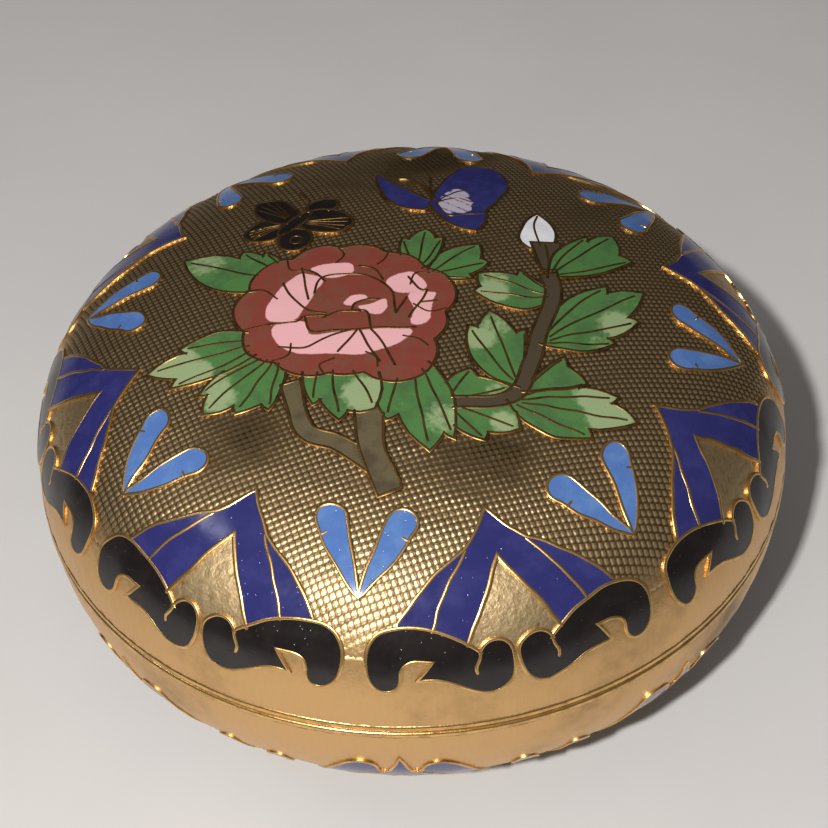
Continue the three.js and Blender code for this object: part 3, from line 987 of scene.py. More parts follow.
@dataclass(frozen=True)
class FiredEnamel:
    """Lead-glass enamel, fired in the cell, ground level with its wires and polished.

    The eye gets a clear gloss over a slightly cloudy colour, with a few pinholes.

    Attributes:
        name: Name of the material.
        colour: The enamel's colour.
        cloud: The colour of its cloudy places.
        second: Its second colour, where the tint value asks for it.
        roughness: Of the polish.
        ragged: How far the edge of the second colour wanders, as a share of its step.
        bark: The colour of stems that are part of the cell.
    """

    name: str
    colour: str
    cloud: str
    second: str
    roughness: float = 0.12
    ragged: float = 0.5
    bark: str = "#4A4030"

    def material(self) -> bpy.types.Material:
        """Builds the material.

        Returns:
            The material.
        """
        material, tree = fresh_material(self.name)
        place = add_node(tree, "TexCoord").outputs["Object"]
        # Clouds of 2 to 3 mm, as the ground glass settles in its paste.
        clouds = add_node(
            tree,
            "TexNoise",
            {"Vector": place, "Scale": 1 / (2.5 * MM), "Detail": 4.0, "Roughness": 0.6},
        )
        body = add_node(
            tree,
            "Mix",
            {
                "Factor": add_node(
                    tree,
                    "MapRange",
                    {
                        "Value": clouds.outputs["Fac"],
                        "From Min": 0.42,
                        "From Max": 0.68,
                    },
                    interpolation_type="SMOOTHSTEP",
                ).outputs["Result"],
                6: linear(self.colour),
                7: linear(self.cloud),
            },
            data_type="RGBA",
        )
        tint = add_node(tree, "Attribute", attribute_name="tint")
        # The paste's grains are 0.2 mm, and the edge between two colours shows them.
        grains = add_node(
            tree, "TexNoise", {"Vector": place, "Scale": 1 / (0.7 * MM), "Detail": 3.0}
        )
        wander = add_node(
            tree,
            "Math",
            {0: grains.outputs["Fac"], 1: self.ragged, 2: tint.outputs["Fac"]},
            operation="MULTIPLY_ADD",
        )
        edge = add_node(
            tree,
            "MapRange",
            {
                "Value": wander.outputs[0],
                "From Min": 0.35 + self.ragged / 2,
                "From Max": 0.65 + self.ragged / 2,
            },
            interpolation_type="SMOOTHSTEP",
        )
        colour = add_node(
            tree,
            "Mix",
            {
                "Factor": edge.outputs["Result"],
                6: body.outputs[2],
                7: linear(self.second),
            },
            data_type="RGBA",
        )
        stems = add_node(
            tree,
            "Mix",
            {
                "Factor": add_node(
                    tree, "Attribute", attribute_name="bark"
                ).outputs["Fac"],
                6: colour.outputs[2],
                7: linear(self.bark),
            },
            data_type="RGBA",
        )
        # Pinholes of 0.15 mm where gas left the glass.
        holes = add_node(tree, "TexVoronoi", {"Vector": place, "Scale": 1 / (0.9 * MM)})
        pits = add_node(
            tree,
            "MapRange",
            {"Value": holes.outputs["Distance"], "From Min": 0.06, "From Max": 0.16},
            interpolation_type="SMOOTHSTEP",
        )
        waves = add_node(
            tree,
            "Math",
            {0: clouds.outputs["Fac"], 1: 0.5, 2: pits.outputs["Result"]},
            operation="MULTIPLY_ADD",
        )
        bump = add_node(
            tree,
            "Bump",
            {"Height": waves.outputs[0], "Distance": 0.05 * MM, "Strength": 0.55},
        )
        shine = add_node(
            tree,
            "MapRange",
            {
                "Value": grains.outputs["Fac"],
                "To Min": self.roughness * 0.8,
                "To Max": self.roughness * 1.7,
            },
        )
        surface = add_node(
            tree,
            "BsdfPrincipled",
            {
                "Base Color": stems.outputs[2],
                "Roughness": shine.outputs["Result"],
                "Normal": bump.outputs["Normal"],
                "IOR": 1.52,
            },
        )
        add_node(tree, "OutputMaterial", {"Surface": surface.outputs["BSDF"]})
        return material


@dataclass(frozen=True)
class WovenGilt:
    """Fire-gilt copper with a ground chased like woven cloth.

    The eye gets bright pads rubbed smooth, with darker grooves between them, partly brown
    tarnish held in them and partly painted shade, and darker patches, some of them worn
    gold.
    Down the wall the pads are warmer and brighter, a painted reflection of the lit floor.

    Attributes:
        name: Name of the material.
        gold: The pads on the crown, paler: partly dull haze, partly painted reflection of
            the grey room.
        wall: The pads on the wall, warmer and brighter: painted reflection of the lit
            floor.
        darkened: The darker gold of the patches.
        groove: The grooves, darker: partly brown tarnish held in them, partly painted
            shade.
    """

    name: str = "woven_fire_gilt_copper"
    gold: str = "#D6BB8E"
    wall: str = "#DDAE72"
    darkened: str = "#4E452F"
    groove: str = "#6E5A3E"

    def material(self) -> bpy.types.Material:
        """Builds the material.

        Returns:
            The material.
        """
        material, tree = fresh_material(self.name)
        place = add_node(tree, "TexCoord").outputs["Object"]
        pad = add_node(tree, "Attribute", attribute_name="pad").outputs["Fac"]
        patch = add_node(tree, "Attribute", attribute_name="patina")
        wall = add_node(tree, "Attribute", attribute_name="wall")
        # Painted reflection: down the wall the pads go from the paler crown gold to a
        # warmer, brighter gold, as where they reflect the lit floor.
        gold_with_painted_sheen = add_node(
            tree,
            "Mix",
            {"Factor": wall.outputs["Fac"], 6: linear(self.gold), 7: linear(self.wall)},
            data_type="RGBA",
        )
        mottle = add_node(
            tree,
            "TexNoise",
            {"Vector": place, "Scale": 1 / (6 * MM), "Detail": 5.0, "Roughness": 0.62},
        )
        # Darker patches of the gold and a random darker tone; the patches at the front of
        # the lid are worn gold.
        darkened = add_node(
            tree,
            "Math",
            {0: mottle.outputs["Fac"], 1: 0.7, 2: patch.outputs["Fac"]},
            operation="MULTIPLY_ADD",
        )
        amount = add_node(
            tree,
            "MapRange",
            {"Value": darkened.outputs[0], "From Min": 0.4, "From Max": 1.0},
            interpolation_type="SMOOTHSTEP",
        )
        top = add_node(
            tree,
            "Mix",
            {
                "Factor": amount.outputs["Result"],
                6: gold_with_painted_sheen.outputs[2],
                7: linear(self.darkened),
            },
            data_type="RGBA",
        )
        # Painted shade, partly tarnish: the low places between the pads take the darker
        # groove colour.
        raised = add_node(
            tree,
            "MapRange",
            {"Value": pad, "From Min": 0.15, "From Max": 0.75},
            interpolation_type="SMOOTHSTEP",
        )
        colour = add_node(
            tree,
            "Mix",
            {
                "Factor": raised.outputs["Result"],
                6: linear(self.groove),
                7: top.outputs[2],
            },
            data_type="RGBA",
        )
        dull = add_node(
            tree, "MapRange", {"Value": pad, "To Min": 0.55, "To Max": 0.38}
        )
        haze = add_node(
            tree,
            "Math",
            {0: amount.outputs["Result"], 1: 0.15, 2: dull.outputs["Result"]},
            operation="MULTIPLY_ADD",
        )
        # Hammer and file marks of 0.25 mm on the pads.
        marks = add_node(
            tree, "TexNoise", {"Vector": place, "Scale": 1 / (0.3 * MM), "Detail": 2.0}
        )
        bump = add_node(
            tree,
            "Bump",
            {"Height": marks.outputs["Fac"], "Distance": 0.06 * MM, "Strength": 0.6},
        )
        surface = add_node(
            tree,
            "BsdfPrincipled",
            {
                "Base Color": colour.outputs[2],
                "Roughness": haze.outputs[0],
                "Normal": bump.outputs["Normal"],
                "Metallic": 1.0,
            },
        )
        add_node(tree, "OutputMaterial", {"Surface": surface.outputs["BSDF"]})
        return material


@dataclass(frozen=True)
class RubbedGilt:
    """Fire-gilt wire and rims, rubbed bright by grinding and by hands.

    The eye gets a warm mirror with fine scratches and duller, browner patches at random.

    Attributes:
        name: Name of the material.
        gold: The rubbed metal.
        dull: The metal where it is less rubbed.
        roughness: Of the polish.
    """

    name: str
    gold: str = "#E8BC78"
    dull: str = "#B8925A"
    roughness: float = 0.22

    def material(self) -> bpy.types.Material:
        """Builds the material.

        Returns:
            The material.
        """
        material, tree = fresh_material(self.name)
        place = add_node(tree, "TexCoord").outputs["Object"]
        mottle = add_node(
            tree,
            "TexNoise",
            {"Vector": place, "Scale": 1 / (1.6 * MM), "Detail": 4.0, "Roughness": 0.6},
        )
        colour = ramp(
            add_node(tree, "ValToRGB", {"Fac": mottle.outputs["Fac"]}),
            [(0.4, self.gold), (0.68, self.dull)],
        )
        shine = add_node(
            tree,
            "MapRange",
            {
                "Value": mottle.outputs["Fac"],
                "From Min": 0.3,
                "From Max": 0.75,
                "To Min": self.roughness,
                "To Max": self.roughness + 0.2,
            },
        )
        # File and polishing marks of 0.2 mm.
        marks = add_node(
            tree, "TexNoise", {"Vector": place, "Scale": 1 / (0.25 * MM), "Detail": 2.0}
        )
        bump = add_node(
            tree,
            "Bump",
            {"Height": marks.outputs["Fac"], "Distance": 0.03 * MM, "Strength": 0.5},
        )
        surface = add_node(
            tree,
            "BsdfPrincipled",
            {
                "Base Color": colour.outputs["Color"],
                "Roughness": shine.outputs["Result"],
                "Normal": bump.outputs["Normal"],
                "Metallic": 1.0,
            },
        )
        add_node(tree, "OutputMaterial", {"Surface": surface.outputs["BSDF"]})
        return material


def make_cell(
    name: str, cell: Cell, place: Place, seed: int, enamel: str, wire: str, finishes: dict
) -> None:
    """Makes the two pieces of a cell, its enamel and its wires.

    Args:
        name: The cell's CAD node.
        cell: The cell.
        place: Lays flat points on the ground.
        seed: Seed of the hand's unsteadiness.
        enamel: The finish of the enamel.
        wire: The finish of the wires.
        finishes: The finishes by name.
    """
    glass, gold = cell.enamel(place, seed), cell.goldwork(place, seed)
    make_piece(f"{name}_enamel", glass, finishes[enamel], (name,))
    make_piece(f"{name}_wires", gold, finishes[wire], (name,))


# ------------------------------------------------------------------------- the drawings


@dataclass(frozen=True)
class RingDrawing:
    """The ring's three motifs: a lappet, a pair of scroll feet and a pair of drops.

    A lobed lappet has a slender tip between two round lobes.

    Attributes:
        shoulder: Where a lappet's inner strip leaves its side.
        bulge: The control point of a lappet's side.
        strip_foot: Where the side ends.
        band_foot: Where the inner strip ends.
        inner_tip: Tip of the open triangle.
        inner_foot: Right foot of the open triangle.
        head: Middle of a scroll's round head.
        head_radius: Radius of that head.
        drop_head: Middle of a drop's round head.
        drop_radius: Radius of that head.
        drop_tail: Where the drop ends.
        lobed: Whether the lappet has lobes.
    """

    shoulder: tuple = (3.2, -3.8)
    bulge: tuple = (7.6, -6.2)
    strip_foot: tuple = (11.0, -10.5)
    band_foot: tuple = (8.0, -11.0)
    inner_tip: tuple = (0.0, -4.3)
    inner_foot: tuple = (5.9, -14.3)
    head: tuple = (2.1, -14.6)
    head_radius: float = 1.65
    drop_head: tuple = (3.6, -0.3)
    drop_radius: float = 1.45
    drop_tail: tuple = (0.15, -7.5)
    lobed: bool = False

    def lappet_side(self) -> np.ndarray:
        """The right side of a lappet, from its tip to its foot.

        Returns:
            The line.
        """
        if self.lobed:
            pen = Pen(0, 0).bend(0.6, -2.4, 1, -3.6)
            pen.curve((1.25, -4.9), (2.9, -4.9), 3, -3.4)
            pen.curve((3.1, -2), (3.8, -1.3), 5, -1.3)
            return pen.curve((7.8, -1.3), (8.8, -5.2), *self.strip_foot).drawn()
        pen = Pen(0, 0).bend(1.9, -2.7, *self.shoulder)
        return pen.bend(*self.bulge, *self.strip_foot).drawn()

    def window(self) -> np.ndarray:
        """The triangle left open in a lappet."""
        x, y = self.inner_foot
        left, right = (-x, y), (x, y)
        pen = Pen(*self.inner_tip).line(*left).line(*right).line(*self.inner_tip)
        return closed(pen.drawn())

    def scroll(self) -> np.ndarray:
        """The right scroll foot: a round head, a body and a drooping end.

        Returns:
            The outline, anticlockwise.
        """
        (x, y), radius = self.head, self.head_radius
        pen = Pen(x + radius, y + 0.5)
        pen.curve((5.6, -12.1), (8.6, -11), 10.8, -11)
        pen.curve((13.9, -11), (15.1, -13), 15.1, -15)
        pen.curve((15.1, -18.2), (12.2, -18.2), 12.1, -15.9)
        pen.bend(12.1, -14.3, 10.2, -14.1).line(8.3, -14.2).line(9.9, -16.2)
        pen.curve((6.2, -15.9), (5.6, -18.3), 2.9, -18.3)
        pen.bend(0.5, -18.1, x - radius, y)
        pen.arc((x, y), radius, math.pi, math.radians(18))
        return anticlockwise(closed(pen.drawn()))

    def drop(self) -> np.ndarray:
        """The right drop of a pair.

        Returns:
            The outline, anticlockwise.
        """
        (hx, hy), (tx, ty) = self.drop_head, self.drop_tail
        lean = math.atan2(hx - tx, hy - ty)
        pen = Pen(tx, ty).bend(tx + 2.6, ty + 2.4, hx + 1.01, hy - 1.04)
        start = math.radians(-20) - lean
        pen.arc((hx, hy), self.drop_radius, start, math.pi - lean)
        pen.line(tx, ty)
        return anticlockwise(closed(pen.drawn()))

    def lappet_cell(self) -> Cell:
        """A lappet: a wide band and a strip on each side of an open triangle.

        Returns:
            The cell.
        """
        side = self.lappet_side()
        below = [(11.0, -11.6), (8.0, -12.4), (4.9, -13.6)]
        half = np.concatenate([side, below])
        outline = anticlockwise(np.concatenate([half[1:], mirrored(half)]))
        outer = np.concatenate([mirrored(side)[:-1], side])
        outer = outer - WIRE / 2 * sides_of(outer, False)
        window = anticlockwise(self.window())
        tip, foot = self.inner_tip, self.inner_foot
        inner = Pen(-foot[0], foot[1]).line(*tip).line(*foot).drawn()
        inner = inner + WIRE / 2 * sides_of(inner, False)
        strip = Pen(*self.shoulder).bend(6.1, -7.4, *self.band_foot).drawn()
        past = Pen(*self.band_foot).line(8.5, -12).drawn()[1:]
        strip = np.concatenate([strip, past])
        scroll = self.scroll()
        return Cell(
            [
                Field(
                    outline,
                    holes=[window],
                    fence=[Wire(outer), Wire(inner, width=0.46)],
                )
            ],
            lines=[Wire(strip, width=0.34), Wire(mirrored(strip), width=0.34)],
            under=[scroll, anticlockwise(mirrored(scroll))],
        )

    def scroll_cell(self) -> Cell:
        """A pair of scroll feet whose heads meet, each with a hook of wire.

        Returns:
            The cell.
        """
        scroll = self.scroll()
        hook = smooth_line([(3.72, -13.9), (3.95, -14.6), (4.35, -15.4), (4.3, -16.0)])
        return Cell(
            [Field(scroll), Field(anticlockwise(mirrored(scroll)))],
            lines=[Wire(hook, width=0.34), Wire(mirrored(hook), width=0.34)],
        )

    def drop_cell(self) -> Cell:
        """A pair of drops whose tails meet, each with a stub of wire at its neck.

        Returns:
            The cell.
        """
        drop = self.drop()
        stub = Pen(4.5, -2.1).line(3.8, -1.75).drawn()
        return Cell(
            [Field(drop), Field(anticlockwise(mirrored(drop)))],
            lines=[Wire(stub, width=0.28), Wire(mirrored(stub), width=0.28)],
        )


@dataclass(frozen=True)
class Leaf:
    """A toothed leaf: from its foot along a rounded side to its tips and back.

    Attributes:
        foot: Where the leaf starts.
        tips: Its teeth, anticlockwise.
        belly: How far its two sides bulge, as a share of their length.
        pale: The share of pale enamel at each tooth.
    """

    foot: tuple
    tips: tuple
    belly: tuple
    pale: tuple = ()

    def _side(self, arm: np.ndarray, bulge: float) -> np.ndarray:
        """The points of a rounded side from the foot to a tooth, without its ends."""
        t = np.linspace(0, 1, 12)[1:-1, None]
        out = np.array([arm[1], -arm[0]])
        return arm * t + out * 4 * bulge * t * (1 - t)

    def outline(self) -> np.ndarray:
        """The leaf's edge, anticlockwise.

        Returns:
            The outline, anticlockwise.
        """
        notch, lean = 0.91, 0.75
        foot = np.array(self.foot)
        arms = [np.array(tip) - foot for tip in self.tips]
        points = [np.zeros((1, 2)), self._side(arms[0], self.belly[0])]
        for i, arm in enumerate(arms):
            points.append(arm[None])
            if i + 1 == len(arms):
                break
            after = arms[i + 1]
            t = 1 - lean if np.hypot(*arm) < np.hypot(*after) else lean
            deep = arm + t * (after - arm)
            reach = notch * min(np.hypot(*arm), np.hypot(*after))
            deep = deep * reach / np.hypot(*deep)
            for a, b in ((arm, deep), (deep, after)):
                s = np.linspace(0, 1, 5)[1:-1, None]
                out = np.array([(b - a)[1], -(b - a)[0]])
                points.append(a + (b - a) * s + out * 0.32 * s * (1 - s))
                if b is deep:
                    points.append(deep[None])
        points.append(self._side(arms[-1], -self.belly[1])[::-1])
        line = np.concatenate(points) + foot
        step = np.hypot(*(np.roll(line, -1, axis=0) - line).T)
        return anticlockwise(line[step > 0.05])

    def veins(self) -> list[Wire]:
        """The wires from the foot to the teeth.

        Returns:
            The wires.
        """
        foot = np.array(self.foot)
        wires = []
        count = len(self.tips)
        for i, tip in enumerate(self.tips):
            arm = np.array(tip) - foot
            out = np.array([arm[1], -arm[0]])
            t = np.linspace(0.1, 0.93, 14)[:, None]
            sway = 0.28 * (0.5 - i / max(count - 1, 1))
            line = foot + arm * t + out * sway * t * (1 - t)
            wires.append(Wire(line, width=0.28))
        return wires

    def tint(self, points: np.ndarray) -> np.ndarray:
        """The share of pale enamel at each point.

        Args:
            points: The points, one row each.

        Returns:
            The shares, 0 to 1.
        """
        foot = np.array(self.foot)
        share = np.zeros(len(points))
        for tip, pale in zip(self.tips, self.pale):
            arm = np.array(tip) - foot
            middle = foot + 0.8 * arm
            reach = 0.22 * np.hypot(*arm)
            off = np.hypot(*(points - middle).T) / reach
            share = np.maximum(share, pale * np.clip(1.35 - 0.9 * off, 0, 0.9))
        return share


def stroke(points: list, widths: list) -> np.ndarray:
    """The outline of a stroke along a few points, with a width at each.

    Args:
        points: A few points along it.
        widths: The width at each point.

    Returns:
        The outline, anticlockwise.
    """
    line = smooth_line(points, 0.5)
    knots = np.array(points, float)
    along = np.concatenate([[0], np.cumsum(np.hypot(*np.diff(knots, axis=0).T))])
    here = np.concatenate([[0], np.cumsum(np.hypot(*np.diff(line, axis=0).T))])
    width = np.interp(here / here[-1], along / along[-1], widths)
    side = sides_of(line, False) * width[:, None] / 2
    return anticlockwise(np.concatenate([line + side, (line - side)[::-1]]))


def ellipse(
    x: float, y: float, length: float, width: float, heading: float
) -> np.ndarray:
    """The outline of an ellipse.

    Args:
        x: Its middle, across.
        y: Its middle, up.
        length: Its first axis.
        width: Its second axis.
        heading: Direction of its first axis, degrees.

    Returns:
        The outline, anticlockwise.
    """
    sides = max(14, round(math.pi * (length + width) / 2 / 0.4))
    angle = np.arange(sides) / sides * 2 * math.pi
    a = length / 2 * np.cos(angle)
    b = width / 2 * np.sin(angle)
    c, s = math.cos(math.radians(heading)), math.sin(math.radians(heading))
    return np.stack([x + c * a - s * b, y + s * a + c * b], 1)


# The leaves of each piece of the spray; an earlier leaf lies over a later one.
LEAVES = {
    "leaf_upper_left": [
        Leaf(
            (-13, 2.6), ((-15.8, 8.4), (-18.5, 9.3), (-25.4, 9.9)), (0.1, 0.26),
            (0, 0.4, 0.6),
        ),
    ],
    "leaves_lower_left": [
        Leaf(
            (-15, -7), ((-24.8, -5.9), (-28.3, -8.4), (-25.4, -11.1)), (0.2, 0.12),
            (0.4, 1, 1),
        ),
        Leaf(
            (-14, -8.5),
            ((-22.3, -13), (-21.8, -15.6), (-18.2, -16.2), (-15, -16.4)),
            (0.12, 0.14),
            (0.7, 0.7, 0.3, 0),
        ),
    ],
    "leaves_below": [
        Leaf(
            (-8.6, -7.5), ((-10.2, -16.2), (-7.5, -18.6), (-3.8, -17.6)), (0.2, 0.24),
            (0, 0.2, 1),
        ),
        Leaf(
            (0, -10), ((-2.4, -19), (1.7, -23), (4.2, -21.6)), (0.26, 0.16),
            (0.4, 0.3, 0.6),
        ),
    ],
    "leaves_upper_right": [
        Leaf(
            (1.2, 3.5), ((4.3, 9.2), (2.4, 10.8), (0, 9.1)), (0.14, 0.16), (0, 0.2, 0)
        ),
        Leaf((2.4, 2.6), ((7.2, 1.8), (9.1, 4.6), (8.4, 7.6)), (0.1, 0.2), (0.3, 0, 0)),
    ],
    "leaves_right": [
        Leaf(
            (16.6, -1.4), ((12.8, 2.8), (8.3, 2.5), (7.8, -0.4)), (0.06, 0.26),
            (0.2, 0.6, 1),
        ),
        Leaf(
            (16, 2.2), ((25.8, 6.6), (24.1, 11.2), (20.9, 10.2)), (0.1, 0.12), (0, 0, 0)
        ),
        Leaf(
            (14.2, -8.6),
            ((22.2, -8), (25.3, -4.2), (26.4, 0.7), (22.2, 1.1)),
            (0.14, 0.12),
            (0.5, 0.8, 0.4, 0),
        ),
        Leaf(
            (11.4, -15), ((12.6, -7), (9, -4), (6.8, -6.2)), (0.04, 0.22), (0, 0.6, 0.8)
        ),
        Leaf((12, -15.6), ((18.6, -14.2), (16.6, -11)), (0.04, 0.06), (0, 0)),
        Leaf(
            (10.4, -17),
            ((18.4, -20.9), (23.5, -18.5), (21.6, -15.7), (18, -14.2)),
            (0.22, 0.06),
            (0.2, 1, 0.8, 0),
        ),
        Leaf(
            (3.9, -17.3),
            ((7.4, -21.8), (11, -20.4), (10.4, -15.2), (6.4, -12.9)),
            (0.22, 0.24),
            (0, 0.8, 0.6, 0.3),
        ),
    ],
}


@dataclass(frozen=True)
class Spray:
    """The flower spray and the two butterflies on the crown of the lid.

    Attributes:
        centre: Middle of the flower.
        core: Radius of the flower inside its petals.
        petal: Radius of a petal's round edge.
        reach: How far each petal goes, anticlockwise.
        first: Direction of the first petal, radians.
        seed: Of the hand's unsteadiness in the first piece.
    """

    centre: tuple = (-6.9, -2.3)
    core: float = 9.4
    petal: float = 4.2
    reach: tuple = (12.5, 11.1, 10.8, 11.2, 12, 12.2, 11.8, 11.1, 10.4, 13.6, 11.5)
    first: float = math.radians(12)
    seed: int = 700

    def peony_outline(self) -> np.ndarray:
        """The flower's scalloped edge: the farthest of its core and its petals.

        Returns:
            The closed outline.
        """
        angle = np.linspace(0, 2 * math.pi, 160, endpoint=False)
        reach = np.full(len(angle), self.core)
        for i, far in enumerate(self.reach):
            off = angle - self.first - i * 2 * math.pi / len(self.reach)
            across = (far - self.petal) * np.sin(off)
            along = (far - self.petal) * np.cos(off)
            edge = along + np.sqrt(np.maximum(self.petal**2 - across**2, 0))
            reach = np.maximum(reach, np.where(np.abs(across) < self.petal, edge, 0))
        x, y = self.centre
        return np.stack([x + reach * np.cos(angle), y + reach * np.sin(angle)], 1)

    def pink_petals(self) -> list[np.ndarray]:
        """The pale petals inside the flower and the two commas at its heart.

        Returns:
            The closed outlines.
        """
        rows = [
            [(-15.6, -2.2), (-14.6, 0.8), (-12.2, 3.8), (-10.6, 3.6), (-9.2, 2.4),
             (-10.3, 0.2), (-11.4, -2.2), (-12.4, -3.9), (-14.9, -3.8)],
            [(-10.7, 4.6), (-8.8, 5.3), (-6.4, 5.3), (-6.0, 3.6), (-8.6, 2.8)],
            [
                (-2.3, 1.7), (-0.6, 2.9), (1.0, 2.8), (2.3, 0.9), (1.2, -0.2),
                (-1.0, -0.2),
            ],
            [
                (0.2, -0.6), (3.0, -0.4), (2.9, -1.6), (2.3, -5.2), (0.4, -5.5),
                (0.8, -3.0),
            ],
            [(-14.6, -4.5), (-11.2, -4.3), (-10.3, -6.4), (-5.4, -6.2), (0.2, -6.3),
             (-0.9, -8.3), (-4.4, -9.9), (-8.0, -9.6), (-12.2, -9.0), (-14.3, -6.9)],
            [
                (-7.1, -1.7), (-6.2, -0.5), (-4.6, -0.4), (-4.3, -1.1), (-5.6, -1.5),
                (-6.1, -2.2),
            ],
            [
                (-5.5, -2.4), (-3.8, -2.0), (-2.3, -1.2), (-2.1, -2.8), (-3.0, -3.9),
                (-4.3, -3.5),
            ],
        ]
        return [smooth_line(row, 0.3, ring=True) for row in rows]

    def petal_wires(self) -> list[Wire]:
        """The wires that part the petals.

        Returns:
            The wires.
        """
        rows = [
            [(-13.75, 2.5), (-12.9, 0.2), (-11, -2.25), (-8.9, -3.2)],
            [(-11.75, 5), (-11.25, 2.5), (-10.9, -0.5)],
            [(-11.6, 4.7), (-10.2, 3.9), (-9, 2.25)],
            [(-5.5, -6), (-6.4, -7.6), (-7.6, -9.3)],
            [(-5.3, -6), (-4.2, -8.8), (-3.1, -11.2)],
            [(-4.1, -6), (-2.6, -8.8), (-1.4, -11.7)],
            [(-6, -6), (-9.3, -7.3), (-11.4, -8.2), (-14, -7.75)],
            [(0.25, 2.25), (1.25, 0.25), (2.3, -0.1)],
            [(2.2, 0), (1.5, -2), (0.2, -4.5)],
            [(1.5, -2), (3.25, -1.75)],
            [(-15.25, -4.25), (-12.25, -4.25), (-11.2, -3.4), (-8.9, -3.5)],
            [(-11.2, -3.4), (-10.4, -5.9), (-7.4, -6.1), (-4.1, -6), (0.8, -6.1)],
            [(-6.2, -3), (-5.9, -1.8), (-4.4, -1.2), (-3.0, -1.2)],
            [(-5.8, -2.9), (-4.4, -3.4), (-4, -6)],
            [(-9.2, -3.9), (-7.4, -3.1), (-5.2, -3.2)],
            [(-2.6, 2.1), (-3.4, 3.8), (-5.2, 4.6)],
            [
                (-10.2, 0.4), (-9.3, 3.0), (-6.0, 3.3), (-3.4, 2.2), (-1.5, -0.2),
                (-1.1, -3.8),
            ],
            [(-1.1, -3.8), (-0.4, -2.3), (0, -1.1)],
        ]
        wires = [Wire(smooth_line(row, 0.35), width=0.3) for row in rows]
        x, y = self.centre
        for i, (a, b) in enumerate(zip(self.reach, self.reach[1:] + self.reach[:1])):
            angle = self.first + (i + 0.5) * 2 * math.pi / len(self.reach)
            far = min(a, b) * 0.98
            near = 7.9 + 0.5 * math.sin(3.1 * i)
            sway = 0.08 * math.sin(2.3 * i + 1)
            bend = [
                (near, angle - sway), ((near + far) / 2, angle + sway), (far, angle)
            ]
            line = [(x + r * math.cos(t), y + r * math.sin(t)) for r, t in bend]
            wires.append(Wire(smooth_line(line, 0.35), width=0.24))
        return wires

    def peony_tint(self, points: np.ndarray) -> np.ndarray:
        """The share of pink enamel at each point of the flower."""
        share = np.zeros(len(points))
        for petal in self.pink_petals():
            share = np.maximum(share, softly_inside(points, petal))
        return share

    def cells(self) -> dict:
        """Each piece of the spray as (its cell, its enamel's name).

        Returns:
            The pairs by name.
        """
        peony = self.peony_outline()
        outlines = {
            name: [leaf.outline() for leaf in rows] for name, rows in LEAVES.items()
        }
        stem = stroke(
            [
                (16, 2.6), (16.3, -1), (14.1, -7.6), (12.9, -12), (10.4, -16.6),
                (3.9, -17.3),
            ],
            [1.6, 1.4, 1.3, 1.3, 1.2, 1],
        )
        trunk = stroke([(-4.3, -17), (-4.2, -22), (-2.5, -27.5)], [2.8, 2.3, 2.1])
        branch = stroke(
            [
                (-12.6, -13.4), (-11, -19.7), (-7.6, -21.6), (-4, -24.6)
            ], [1.7, 1.6, 1.6, 1.6]
        )
        cells = {
            "peony": (
                Cell(
                    [Field(peony, tint=self.peony_tint, spacing=0.34)],
                    lines=self.petal_wires(),
                ),
                "red",
            )
        }
        for name, rows in LEAVES.items():
            over = [peony]
            if name == "leaves_below":
                over += outlines["leaves_lower_left"]
            if name == "leaves_right":
                over += [*outlines["leaves_below"], *outlines["leaves_upper_right"]]
            fields, lines = [], []
            if name == "leaves_right":
                fields.append(Field(stem, bark=1.0))
                over_veins = [stem]
            else:
                over_veins = []
            for leaf, outline in zip(rows, outlines[name]):
                fields.append(Field(outline, tint=leaf.tint, spacing=0.5))
                for vein in leaf.veins():
                    lines += vein.cut([grown(o, WIRE / 2) for o in over_veins])
                over_veins.append(outline)
            cells[name] = (Cell(fields, lines, over), "green")
        behind = [peony, *outlines["leaves_lower_left"], *outlines["leaves_below"]]
        cells["branch"] = (Cell([Field(trunk), Field(branch)], [], behind), "brown")
        cells["bud"] = (self.bud(outlines["leaves_right"]), "white")
        cells["butterfly_dark"] = (self.dark_butterfly([peony]), "black")
        cells["butterfly_blue"] = (self.blue_butterfly(), "cobalt")
        return cells

    def dress(self, crown: CrownPlace, finishes: dict) -> list:
        """Makes the pieces of the spray.

        Args:
            crown: Lays the drawing on the crown of the lid.
            finishes: The finishes by name.

        Returns:
            For the ground, the place and the outlines that each piece covers.
        """
        covered = []
        for number, (name, (cell, enamel)) in enumerate(self.cells().items()):
            seed = self.seed + number
            make_cell(name, cell, crown, seed, enamel, "browned", finishes)
            covered.append((crown, cell.silhouette()))
        return covered

    def bud(self, over: list) -> Cell:
        """The closed white bud on its calyx.

        Args:
            over: Outlines of the neighbours that lie over it.

        Returns:
            The cell.
        """
        pen = Pen(15.6, 14.3).curve((13.3, 12), (12.7, 9), 14.4, 7.6).line(16.3, 7.6)
        petals = closed(pen.curve((18, 9.4), (17.4, 12.2), 15.6, 14.3).drawn())
        calyx = stroke([(16.2, 8.4), (16.2, 3.6)], [3, 1.5])
        wires = [
            Wire(smooth_line([(15.6, 14), (15.0, 11.6), (15.5, 8.0)]), width=0.28),
            Wire(smooth_line([(16.1, 8.2), (16.2, 5.5), (16.1, 3.8)]), width=0.28),
        ]
        return Cell([Field(calyx, bark=1.0), Field(anticlockwise(petals))], wires, over)

